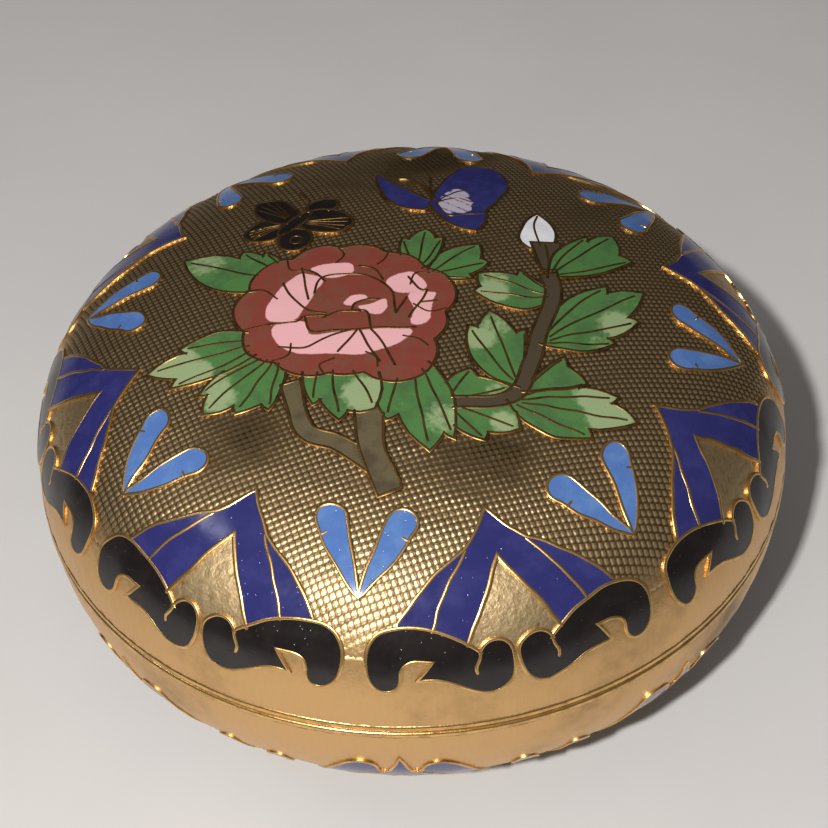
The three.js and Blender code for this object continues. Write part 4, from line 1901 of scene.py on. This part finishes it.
    def dark_butterfly(self, over: list) -> Cell:
        """The small dark butterfly: four wings and a lobe about a narrow body.

        Args:
            over: Outlines of the neighbours that lie over it.

        Returns:
            The cell.
        """
        wings = [
            (-12.8, 14.2, 5.4, 1.3, 52),
            (-15, 17.3, 6.6, 3.8, 128),
            (-16, 13.3, 5, 4, 200),
            (-9.2, 14, 6.4, 4.4, -22),
            (-12.6, 10.8, 4, 3.6, 270),
            (-9.6, 17.4, 3.6, 2.6, 30),
        ]
        fields = [Field(ellipse(*wing), spacing=0.5) for wing in wings]
        lines = [Wire(ellipse(-12.4, 10.6, 1.5, 1.5, 0), True, 0.26)]
        lines.append(Wire(ellipse(-16.9, 13, 1.4, 1.4, 0), True, 0.26))
        for x, y, length, _, heading in wings[1:4]:
            root = np.array((-12.8, 14.4))
            for spread in (-26, -9, 9, 26):
                c = math.cos(math.radians(heading + spread))
                s = math.sin(math.radians(heading + spread))
                to = np.array((x, y)) + length * 0.42 * np.array((c, s))
                line = np.linspace(root + 0.25 * (to - root), to, 10)
                lines.append(Wire(line, width=0.22))
        feeler = smooth_line([(-11.3, 16.6), (-11.2, 19), (-12.3, 21.3)])
        lines.append(Wire(feeler, width=0.26))
        return Cell(fields, lines, over)

    def blue_butterfly(self) -> Cell:
        """The large blue butterfly with a pale striped patch on its wing.

        Returns:
            The cell.
        """
        left = Pen(3.6, 16.8).bend(-0.6, 20.2, -2.9, 24)
        left.curve((-3, 20), (-1.8, 15.8), 2.4, 15.4).line(3.6, 16.8)
        right = Pen(3.2, 16.6).curve((4.4, 13.4), (4.8, 11.8), 8.2, 10.8)
        right.curve((9.6, 12.4), (9.2, 14.4), 10, 15.8)
        right.curve((11.4, 17.6), (12.6, 20), 12.5, 22.4)
        right.curve((12.2, 27), (7.4, 26.8), 6.2, 23.8).bend(4.4, 21.4, 3.8, 17.6)
        right.line(3.2, 16.6)
        patch = smooth_line(
            [
                (4.2, 16.2), (5.2, 14.4), (7.6, 14.6), (8.2, 16.6), (7.2, 19.6),
                (5.4, 19.4),
            ],
            0.3,
            ring=True,
        )

        def pale(points: np.ndarray) -> np.ndarray:
            """The share of pale enamel at each point of the wing."""
            stripes = 0.5 + 0.5 * np.sin(points[:, 0] * 3.2 + points[:, 1] * 4.2)
            return softly_inside(points, patch) * (0.45 + 0.75 * stripes)

        lines = [
            Wire(
                smooth_line([(4, 17.4), (2.6, 20.6), (0.8, 22.6), (-0.5, 22.9)]),
                width=0.26,
            ),
            Wire(
                smooth_line([(4, 17.4), (3.4, 20.4), (3.4, 22.6), (3.2, 24)]),
                width=0.26,
            ),
            Wire(
                smooth_line([(4.0, 16.6), (5.2, 13.9), (7.6, 14.2), (9.6, 14.4)]),
                width=0.26,
            ),
            Wire(smooth_line([(4.3, 16.9), (6.4, 17.6), (8.4, 16.6)]), width=0.22),
            Wire(smooth_line([(4.3, 17.1), (6.0, 19.0), (7.6, 19.4)]), width=0.22),
        ]
        return Cell(
            [
                Field(anticlockwise(closed(right.drawn())), tint=pale, spacing=0.36),
                Field(anticlockwise(closed(left.drawn())), spacing=0.6),
            ],
            lines,
        )


# -------------------------------------------------------------------- the chased ground


@dataclass
class WovenGround:
    """The ground between the cells, chased like cloth.

    The cloth lies as seen from above, so its pads grow long where the wall is steep.

    Attributes:
        ground: The ground that it covers.
        inner: Where the cloth starts, radius.
        outer: Where it ends, radius.
        first: Pads per mm along the first thread, x and y.
        second: Pads per mm along the second thread, x and y.
        depth: Depth of the grooves.
        steep: From this radius on the mesh follows the wall and not the threads.
        hem: Arc from the seam to the cloth's edge.
        seed: Of the unevenness.
        dark_patches: Where the gold is darker: x, y, size and amount of each patch.
    """

    ground: Ground
    inner: float = 0.0
    outer: float = 43.72
    first: tuple = (1.42, 0.56)
    second: tuple = (-0.35, 1.5)
    depth: float = 0.12
    steep: float = 41.8
    hem: float = 1.0
    seed: int = 3
    dark_patches: tuple = ()

    def threads(self, points: np.ndarray) -> np.ndarray:
        """Where points lie in the cloth, counted in pads along its two threads."""
        a, b = Drift(self.seed, 14.0).at(points), Drift(self.seed + 1, 14.0).at(points)
        both = points @ np.array([self.first, self.second]).T
        return both + 0.12 * np.stack([a, b], 1)

    def pad(self, points: np.ndarray) -> np.ndarray:
        """The height of the cloth at plan points, 0 in a groove and 1 on a pad."""
        wave = np.abs(np.sin(math.pi * self.threads(points)))
        along = step_between(0.15, 0.8, wave[:, 0])
        return along * step_between(0.1, 0.75, wave[:, 1])

    @staticmethod
    def hold(r: np.ndarray) -> np.ndarray:
        """How deep the chasing is at a radius; on the wall the tool only grazed."""
        return 1 - 0.74 * step_between(38.5, 43.0, r)

    def patina(self, points: np.ndarray) -> np.ndarray:
        """How dark the gold is at plan points.

        Args:
            points: The points, one row each.

        Returns:
            The amounts.
        """
        darkened = 0.16 * Drift(self.seed + 5, 22.0).at(points)
        for x, y, size, amount in self.dark_patches:
            off = np.hypot(points[:, 0] - x, points[:, 1] - y) / size
            darkened = darkened + amount * np.exp(-(off**2))
        return darkened

    def cloth(self, cells: list) -> Skin:
        """The cloth between cells.

        Args:
            cells: Pairs of a place and the outlines of its cell.

        Returns:
            The skin, cut away under the cells.
        """
        return joined([self._flat_part(cells), self._steep_part(cells)])

    def _hidden(self, r: np.ndarray, azimuth: np.ndarray, cells: list) -> np.ndarray:
        """Whether places on the ground lie well under a cell.

        Args:
            r: Radius of each place.
            azimuth: Direction of each place, radians.
            cells: Pairs of a place and the outlines of its cell.

        Returns:
            True for each hidden place.
        """
        hidden = np.zeros(len(r), bool)
        plan = np.stack([r * np.cos(azimuth), r * np.sin(azimuth)], 1)
        for place, outlines in cells:
            flat = plan if isinstance(
                place, CrownPlace
            ) else place.flattened(r, azimuth)
            for outline in outlines:
                hidden |= inside(flat, outline)
        return hidden

    def _skin(
        self, r: np.ndarray, azimuth: np.ndarray, z: np.ndarray, sunk: np.ndarray,
        faces: np.ndarray, hidden: np.ndarray, pad: np.ndarray,
    ) -> Skin:
        """A skin on the ground with the cloth on it, without hidden faces.

        Args:
            r: Radius of each place.
            azimuth: Direction of each place, radians.
            z: Height of each place.
            sunk: Whether each place is tucked under the next sheet.
            faces: The faces.
            hidden: Whether each place lies under a cell.
            pad: Height of the cloth at each place, 0 to 1.

        Returns:
            The skin.
        """
        plan = np.stack([r * np.cos(azimuth), r * np.sin(azimuth)], 1)
        uneven = 1 + 0.25 * Drift(self.seed + 9, 2.2).at(plan)
        pad = 1 - self.hold(r) * (1 - pad)
        lift = np.where(sunk, -TUCK, self.depth * pad * uneven)
        faces = faces[~hidden[faces].all(1)]
        used, renumbered = np.unique(faces, return_inverse=True)
        points = self.ground.lifted(r, z, azimuth, lift)
        values = {
            "pad": pad[used],
            "patina": self.patina(plan)[used],
            # The wall value makes the finish paint the pads warmer and brighter down the
            # wall: painted reflection.
            "wall": (1 - self.hold(r))[used],
        }
        return Skin(points[used], renumbered.reshape(faces.shape), values)

    def _flat_part(self, cells: list) -> Skin:
        """The part that follows the threads, three corners to a pad.

        Args:
            cells: Pairs of a place and the outlines of its cell.

        Returns:
            The skin.
        """
        both = np.array([self.first, self.second])
        back = np.linalg.inv(both)
        reach = int(self.steep * 1.6 * 3) + 6
        steps = np.arange(-reach, reach + 1)
        u, v = np.meshgrid(steps / 3, steps / 3)
        target = np.stack([u.ravel(), v.ravel()], 1)
        points = target @ back.T
        for _ in range(3):
            points = points + (target - self.threads(points)) @ back.T
        r = np.hypot(*points.T)
        azimuth = np.arctan2(points[:, 1], points[:, 0])
        faces = quads(np.arange(len(points)).reshape(u.shape))
        inside_ring = (r > self.inner) & (r < self.steep + 0.2)
        faces = faces[inside_ring[faces].all(1)]
        used, renumbered = np.unique(faces, return_inverse=True)
        faces = renumbered.reshape(-1, 4)
        r, azimuth, points = r[used], azimuth[used], points[used]
        iu = np.rint(target[used] * 3).astype(int) % 3
        pad = ((iu[:, 0] != 0) & (iu[:, 1] != 0)).astype(float)
        sunk = r > self.steep - 0.05
        hidden = self._hidden(r, azimuth, cells)
        return self._skin(
            r, azimuth, self.ground.height_at(r), sunk, faces, hidden, pad
        )

    def _steep_part(self, cells: list) -> Skin:
        """The part that follows the wall, where the pads run into long ribs.

        Args:
            cells: Pairs of a place and the outlines of its cell.

        Returns:
            The skin.
        """
        first = self.hem
        last = float(self.ground.arc_at(np.array([self.steep - 0.3]))[0])
        rows = np.linspace(first, last, round((last - first) / 0.36) + 1)
        around = round(2 * math.pi * self.outer / 0.24)
        turn = np.arange(around) / around * 2 * math.pi
        r_row, z_row = self.ground.at_arc(rows)
        r = np.repeat(r_row, around)
        z = np.repeat(z_row, around)
        azimuth = np.tile(turn, len(rows))
        index = np.arange(len(r)).reshape(-1, around)
        faces = quads(np.concatenate([index, index[:, :1]], 1))
        if self.ground.sense < 0:
            faces = faces[:, ::-1]
        plan = np.stack([r * np.cos(azimuth), r * np.sin(azimuth)], 1)
        pad = self.pad(plan)
        sunk = r < self.steep - 0.2
        hidden = self._hidden(r, azimuth, cells)
        return self._skin(r, azimuth, z, sunk, faces, hidden, pad)


# Where the gold of the lid's cloth is darker: the two front patches are worn gold, and
# two broad, fainter patches darken the back and the right.
LID_DARK_PATCHES = (
    (9.0, -26.0, 6.5, 0.55),
    (-17.0, -20.0, 6.0, 0.6),
    (0.0, 34.0, 18.0, 0.35),
    (34.0, 10.0, 12.0, 0.25),
)


# ----------------------------------------------------------------------- the two halves


@dataclass(frozen=True)
class Shell:
    """Sizes that the two turned copper shells share, radii and heights in mm.

    Attributes:
        seam_gap: The gap between the two rims.
        rim_height: Height of each polished rim.
        ground_radius: Radius of the ground at the seam.
        curve: Exponent of the superellipse.
        wall: Thickness of the copper.
        collar_rise: How far the collar stands above the seam.
        mouth_radius: Inner radius of the lid at the seam.
        floor_recess: Height of the underside inside the foot ring.
    """

    rim_radius: float = 44.0
    seam: float = 22.5
    seam_gap: float = 0.3
    rim_height: float = 0.8
    ground_radius: float = 43.75
    lid_rise: float = 21.5
    bowl_depth: float = 23.7
    curve: float = 2.55
    wall: float = 1.3
    collar_radius: float = 41.5
    collar_wall: float = 0.9
    collar_rise: float = 2.3
    mouth_radius: float = 42.3
    foot_radius: float = 27.0
    foot_width: float = 2.4
    floor_recess: float = 1.2
    floor_thickness: float = 1.3

    def ellipse_rows(
        self, radius: float, rise: float, sense: int, base: float, start: float,
        end: float, count: int,
    ) -> np.ndarray:
        """Profile rows (radius, height) of a superellipse between two angles.

        Args:
            radius: Its radius.
            rise: Its rise.
            sense: 1 where it rises, -1 where it falls.
            base: Height of its widest place.
            start: Angle where it starts, radians.
            end: Angle where it ends, radians.
            count: How many rows.

        Returns:
            The rows.
        """
        angle = np.linspace(start, end, count)
        power = 2 / self.curve
        r = radius * np.maximum(0, np.cos(angle)) ** power
        r[np.abs(angle - math.pi / 2) < 1e-6] = 0
        z = base + sense * rise * np.maximum(0, np.sin(angle)) ** power
        return np.stack([r, z], 1)

    def angle_at_rise(self, share: float) -> float:
        """The angle at which a superellipse has a share of its rise."""
        return math.asin(share ** (self.curve / 2))

    def angle_at_radius(self, share: float) -> float:
        """The angle at which a superellipse has a share of its radius."""
        return math.acos(share ** (self.curve / 2))


@dataclass
class Half:
    """One half of the box with its ring of motifs: the lid or the bowl.

    Attributes:
        shell: The sizes of the shells.
        ground: The ground that carries the ring.
        name: What the names of its pieces start with.
        phase: Direction of the first lappet, radians.
        tip_arc: Arc from the seam to the lappets' tips.
        scale: Size of the drawing on this half.
        seed: Of the setter's slips.
        drop_fall: How much farther down the slope the drops sit, on the drawing.
        repeats: How many times the ring's motifs come round.
        slip: The farthest that a setter slips.
    """

    shell: Shell
    ground: Ground
    name: str
    phase: float
    tip_arc: float
    scale: float
    seed: int
    drop_fall: float = 0.0
    repeats: int = 8
    slip: float = 0.25

    def ring_places(self) -> list:
        """For each repeat, the place of its lappet and scrolls and that of its drops.

        Returns:
            The pairs of places.
        """
        step = 2 * math.pi / self.repeats
        rng = np.random.default_rng(self.seed)
        drop_arc = self.tip_arc - self.ground.sense * self.drop_fall * self.scale
        places = []
        for i in range(self.repeats):
            along, up, turn, _ = rng.uniform(-self.slip, self.slip, 4)
            on = RingPlace(
                self.ground,
                self.tip_arc,
                self.phase + i * step,
                self.scale,
                (along * 0.5, up * 0.5),
                turn * 0.03,
            )
            azimuth = self.phase + (i + 0.5) * step
            places.append((on, RingPlace(self.ground, drop_arc, azimuth, self.scale)))
        return places

    def dress_ring(self, cells: dict, finishes: dict) -> list:
        """Makes the ring's pieces.

        Args:
            cells: The lappet, scrolls and drops cells by name.
            finishes: The finishes by name.

        Returns:
            For the ground, the places and the outlines that the ring covers.
        """
        covered = []
        for i, (on, between) in enumerate(self.ring_places()):
            rows = (
                ("lappet", on, "cobalt"),
                ("scrolls", on, "black"),
                ("drops", between, "sky"),
            )
            for kind, place, enamel in rows:
                node = f"{self.name}_{kind}_{i + 1}"
                seed = self.seed * 100 + i * 3 + len(kind)
                make_cell(node, cells[kind], place, seed, enamel, "wire", finishes)
                covered.append((place, cells[kind].silhouette()))
        return covered

    def dress_ground(
        self, cloth: WovenGround, covered: list, window: np.ndarray, finishes: dict
    ) -> None:
        """Makes the woven ground between the cells.

        Args:
            cloth: The cloth on this half.
            covered: Pairs of a place and the outlines that are covered there.
            window: Outline of the open triangle in a lappet.
            finishes: The finishes by name.
        """
        windows = [(on, [window]) for on, _ in self.ring_places()]
        make_piece(
            f"{self.name}_woven_ground", cloth.cloth(covered + windows),
            finishes["woven"],
        )

    def grained_fields(self, window: np.ndarray, finishes: dict) -> None:
        """Makes the punched triangles inside the lappets.

        Args:
            window: The triangle's outline.
            finishes: The finishes by name.
        """
        skins = []
        low, high = window.min(0) - 0.3, window.max(0) + 0.3
        step = 0.24
        across = np.arange(low[0], high[0], step)
        up = np.arange(low[1], high[1], step)
        x, y = np.meshgrid(across, up)
        flat = np.stack([x.ravel(), y.ravel()], 1)
        faces = quads(np.arange(len(flat)).reshape(x.shape))
        kept = inside(flat, grown(window, 0.25))
        faces = faces[kept[faces].all(1)]
        used, renumbered = np.unique(faces, return_inverse=True)
        flat, faces = flat[used], renumbered.reshape(-1, 4)
        for i, (on, _) in enumerate(self.ring_places()):
            rng = np.random.default_rng(self.seed * 31 + i)
            grain = rng.uniform(0, 1, len(flat))
            coarse = 0.5 + 0.35 * Drift(self.seed * 17 + i, 1.0, 9).at(flat)
            height = np.clip(0.55 * grain + 0.45 * coarse, 0, 1)
            lift = 0.03 + 0.07 * height
            values = {"pad": 0.35 + 0.65 * height, "patina": 0.15 * coarse}
            skins.append(Skin(on(flat, lift), faces, values))
        make_piece(
            f"{self.name}_punched_triangles", joined(skins), finishes["woven"],
        )


@dataclass
class Lid(Half):
    """The domed lid."""

    def dress_shell(self, finishes: dict) -> None:
        """Makes the lid's turned shell with its polished band, and its lining.

        Args:
            finishes: The finishes by name.
        """
        s = self.shell
        edge = s.seam + s.seam_gap / 2
        band = edge + s.rim_height
        low = s.angle_at_rise((band + 0.55 - s.seam) / s.lid_rise)
        outside = s.ellipse_rows(
            s.ground_radius - 0.1, s.lid_rise - 0.1, 1, s.seam, math.pi / 2, low, 48
        )
        rim = np.array(
            [
                (s.ground_radius - 0.06, band + 0.1),
                (s.ground_radius + 0.08, band),
                (s.rim_radius - 0.05, band - 0.1),
                (s.rim_radius, band - 0.3),
                (s.rim_radius, edge + 0.28),
                (s.rim_radius - 0.05, edge + 0.13),
                (s.rim_radius - 0.16, edge + 0.03),
                (s.rim_radius - 0.35, edge),
                (s.mouth_radius + 0.1, edge),
            ]
        )
        rows = np.concatenate([outside, rim])
        make_piece(
            "lid_shell", turned(rows[::-1]), finishes["rim"], ("lid",)
        )
        rise = s.lid_rise - s.wall - s.seam_gap / 2
        inner = s.ellipse_rows(s.mouth_radius, rise, 1, edge, 0, math.pi / 2, 40)
        start = np.array([(s.mouth_radius + 0.1, edge)])
        make_piece(
            "lid_lining", turned(
                np.concatenate([start, inner])[::-1]
            ), finishes["lining"],
        )


@dataclass
class Bowl(Half):
    """The bowl with its collar and foot ring."""

    def dress_shell(self, finishes: dict) -> None:
        """Makes the bowl's turned shell, from foot ring to collar, and its lining.

        Args:
            finishes: The finishes by name.
        """
        s = self.shell
        ledge = s.seam - s.seam_gap / 2
        band = ledge - s.rim_height
        collar_top = s.seam + s.collar_rise
        inner_radius = s.collar_radius - s.collar_wall
        outside = s.ellipse_rows(
            s.ground_radius - 0.1, s.bowl_depth - 0.1, -1, s.seam,
            s.angle_at_radius((s.foot_radius + 0.3) / s.ground_radius),
            s.angle_at_rise((s.seam - band + 0.55) / s.bowl_depth), 44,
        )
        inner_foot = s.foot_radius - s.foot_width
        below = np.array(
            [
                (0, s.floor_recess),
                (inner_foot - 0.5, s.floor_recess),
                (inner_foot - 0.15, s.floor_recess - 0.15),
                (inner_foot, s.floor_recess - 0.45),
                (inner_foot, 0.2),
                (inner_foot + 0.15, 0.04),
                (inner_foot + 0.35, 0.0),
                (s.foot_radius - 0.4, 0.0),
                (s.foot_radius - 0.12, 0.1),
                (s.foot_radius, 0.35),
                (s.foot_radius + 0.02, 0.7),
            ]
        )
        rim = np.array(
            [
                (s.ground_radius - 0.06, band - 0.1),
                (s.ground_radius + 0.08, band),
                (s.rim_radius - 0.05, band + 0.1),
                (s.rim_radius, band + 0.3),
                (s.rim_radius, ledge - 0.34),
                (s.rim_radius - 0.06, ledge - 0.16),
                (s.rim_radius - 0.2, ledge - 0.04),
                (s.rim_radius - 0.42, ledge),
                (s.collar_radius + 0.12, ledge),
                (s.collar_radius, ledge + 0.12),
                (s.collar_radius, collar_top - 0.2),
                (s.collar_radius - 0.06, collar_top - 0.06),
                (s.collar_radius - 0.2, collar_top),
                (inner_radius + 0.2, collar_top),
                (inner_radius + 0.06, collar_top - 0.06),
                (inner_radius, collar_top - 0.2),
                (inner_radius, s.seam),
            ]
        )
        rows = np.concatenate([below, outside, rim])
        make_piece(
            "bowl_shell", turned(rows), finishes["rim"], ("bowl",)
        )
        depth = s.seam - s.floor_recess - s.floor_thickness
        inner = s.ellipse_rows(inner_radius, depth, -1, s.seam, 0, math.pi / 2, 40)
        make_piece("bowl_lining", turned(inner), finishes["lining"])


# --------------------------------------------------------------------------- the studio


@dataclass(frozen=True)
class Studio:
    """A pale floor, soft light from the left and a camera above the front.

    Attributes:
        eye: Where the camera stands, mm.
        elevation: How far it looks down, degrees.
        roll: How far it leans, degrees.
        lens: Its focal length on a 36 mm sensor, mm.
    """

    eye: tuple = (0.330, -149.068, 170.581)
    elevation: float = 44.32
    roll: float = 2.18
    lens: float = 76.26

    def camera(self) -> None:
        """Makes the camera and makes it the scene's."""
        data = bpy.data.cameras.new("camera")
        data.lens = self.lens
        data.sensor_width = 36
        data.dof.use_dof = False
        data.clip_start = 0.01
        data.clip_end = 20
        camera = bpy.data.objects.new("camera", data)
        bpy.context.scene.collection.objects.link(camera)
        tilt = Matrix.Rotation(math.radians(90 - self.elevation), 4, "X")
        lean = Matrix.Rotation(-math.radians(self.roll), 4, "Z")
        camera.matrix_world = Matrix.Translation(Vector(self.eye) * MM) @ tilt @ lean
        bpy.context.scene.camera = camera

    def floor(self) -> None:
        """Makes the pale floor."""
        bpy.ops.mesh.primitive_plane_add(size=6, location=(0, 0, -0.00005))
        floor = bpy.context.object
        floor.name = "floor"
        material, tree = fresh_material("matt_white_table")
        place = add_node(tree, "TexCoord").outputs["Object"]
        blur = add_node(
            tree, "TexNoise", {"Vector": place, "Scale": 25.0, "Detail": 3.0}
        )
        tone = ramp(
            add_node(tree, "ValToRGB", {"Fac": blur.outputs["Fac"]}),
            [(0.35, "#D9D8D8"), (0.7, "#DEDDDC")],
        )
        surface = add_node(
            tree,
            "BsdfPrincipled",
            {"Base Color": tone.outputs["Color"], "Roughness": 0.6},
        )
        add_node(tree, "OutputMaterial", {"Surface": surface.outputs["BSDF"]})
        floor.data.materials.append(material)

    def lamp(
        self, name: str, place: tuple, aim: tuple, size: tuple, power: float,
        colour: str,
    ) -> None:
        """Makes a soft lamp.

        Args:
            name: The lamp's name.
            place: Where it stands, m.
            aim: Where it points, m.
            size: Its two sides, m.
            power: Its power, W.
            colour: Its colour.
        """
        data = bpy.data.lights.new(name, "AREA")
        data.shape = "RECTANGLE"
        data.size, data.size_y = size
        data.energy = power
        data.color = linear(colour)[:3]
        lamp = bpy.data.objects.new(name, data)
        bpy.context.scene.collection.objects.link(lamp)
        lamp.location = place
        way = Vector(aim) - Vector(place)
        lamp.rotation_euler = way.to_track_quat("-Z", "Y").to_euler()

    def lights(self) -> None:
        """Makes the lamps and the dim room around them."""
        self.lamp(
            "key", (-0.093, -0.262, 0.33), (0, 0, 0.02), (0.016, 0.016), 1.65, "#FFFCF8"
        )
        self.lamp(
            "window", (-0.46, -0.03, 0.56), (0, 0, 0.02), (0.1, 0.07), 0.16, "#F4F6FF"
        )
        world = bpy.data.worlds.new("dim_room")
        world.use_nodes = True
        tree = world.node_tree
        tree.nodes.clear()
        # The room is dark behind the box and lighter above its front.
        way = add_node(
            tree,
            "VectorMath",
            {0: add_node(tree, "TexCoord").outputs["Generated"], 1: (0.0, -0.5, 0.87)},
            operation="DOT_PRODUCT",
        )
        light = add_node(
            tree,
            "MapRange",
            {
                "Value": way.outputs["Value"],
                "From Min": -0.3,
                "From Max": 1.0,
                "To Min": 0.03,
                "To Max": 0.24,
            },
        )
        room = add_node(
            tree,
            "Background",
            {"Color": linear("#F4F0EC"), "Strength": light.outputs["Result"]},
        )
        add_node(tree, "OutputWorld", {"Surface": room.outputs["Background"]})
        bpy.context.scene.world = world


def make_finishes() -> dict:
    """All finishes of the box by name.

    Returns:
        The materials by name.
    """
    enamels = {
        "cobalt": FiredEnamel(
            "cobalt_fired_enamel", "#292A66", "#323470", "#B9AFC0", 0.13
        ),
        "black": FiredEnamel(
            "black_fired_enamel", "#14100F", "#1E1817", "#8A7A58", 0.18
        ),
        "sky": FiredEnamel(
            "sky_blue_fired_enamel", "#5074B4", "#5E82BC", "#A8C0DC", 0.15
        ),
        "red": FiredEnamel(
            "iron_red_and_pink_fired_enamel", "#833E33", "#784A3A", "#EBB2B6", 0.15
        ),
        "green": FiredEnamel(
            "leaf_green_fired_enamel", "#4E7A43", "#476A40", "#93A67A", 0.15
        ),
        "brown": FiredEnamel(
            "brown_fired_enamel", "#61573F", "#4E4433", "#8A7A58", 0.22
        ),
        "white": FiredEnamel(
            "white_fired_enamel", "#EAEBEF", "#DDDDE4", "#6B5E42", 0.14
        ),
        "lining": FiredEnamel(
            "sky_blue_counter_enamel", "#3C79A8", "#4A86B0", "#A8C0DC", 0.2
        ),
    }
    finishes = {name: enamel.material() for name, enamel in enamels.items()}
    finishes["woven"] = WovenGilt().material()
    finishes["wire"] = RubbedGilt("rubbed_fire_gilt_wire").material()
    finishes["browned"] = RubbedGilt(
        "browned_fire_gilt_wire", "#A88450", "#5E4728", 0.3
    ).material()
    finishes["rim"] = RubbedGilt("polished_fire_gilt_rim", roughness=0.16).material()
    return finishes


def main() -> None:
    """Builds the box around the frame, piece by piece, and the studio."""
    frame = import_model()
    log.info("the frame has %d nodes", len(frame["nodes"]))
    for name in [o.name for o in bpy.data.objects if o.type in ("CAMERA", "LIGHT")]:
        bpy.data.objects.remove(bpy.data.objects[name])

    finishes = make_finishes()
    drawing = RingDrawing()
    cells = {
        "lappet": drawing.lappet_cell(),
        "scrolls": drawing.scroll_cell(),
        "drops": drawing.drop_cell(),
    }
    shell = Shell()
    window = anticlockwise(drawing.window())
    lid = Lid(
        shell, Ground(shell.lid_rise, 1), "lid", math.radians(-76.5), 23.5,
        scale=1.0, seed=1,
    )
    bowl = Bowl(
        shell, Ground(shell.bowl_depth, -1), "bowl", math.radians(-93.3), 5.1,
        scale=0.84, seed=2, drop_fall=6.2,
    )

    covered = lid.dress_ring(cells, finishes)
    covered += Spray().dress(CrownPlace(lid.ground), finishes)
    lid.dress_shell(finishes)
    lid.grained_fields(window, finishes)
    cloth = WovenGround(lid.ground, dark_patches=LID_DARK_PATCHES)
    lid.dress_ground(cloth, covered, window, finishes)

    lobed = RingDrawing(shoulder=(2.06, -4.55), inner_tip=(0.0, -6.6), lobed=True)
    cells["lappet"] = lobed.lappet_cell()
    window = anticlockwise(lobed.window())
    covered = bowl.dress_ring(cells, finishes)
    bowl.dress_shell(finishes)
    bowl.grained_fields(window, finishes)
    cloth = WovenGround(bowl.ground, inner=27.3, seed=23)
    bowl.dress_ground(cloth, covered, window, finishes)

    bpy.context.scene.view_settings.view_transform = "Standard"
    studio = Studio()
    studio.camera()
    studio.floor()
    studio.lights()


if __name__ == "__main__":
    logging.basicConfig(level=logging.INFO, format="%(message)s")
    main()
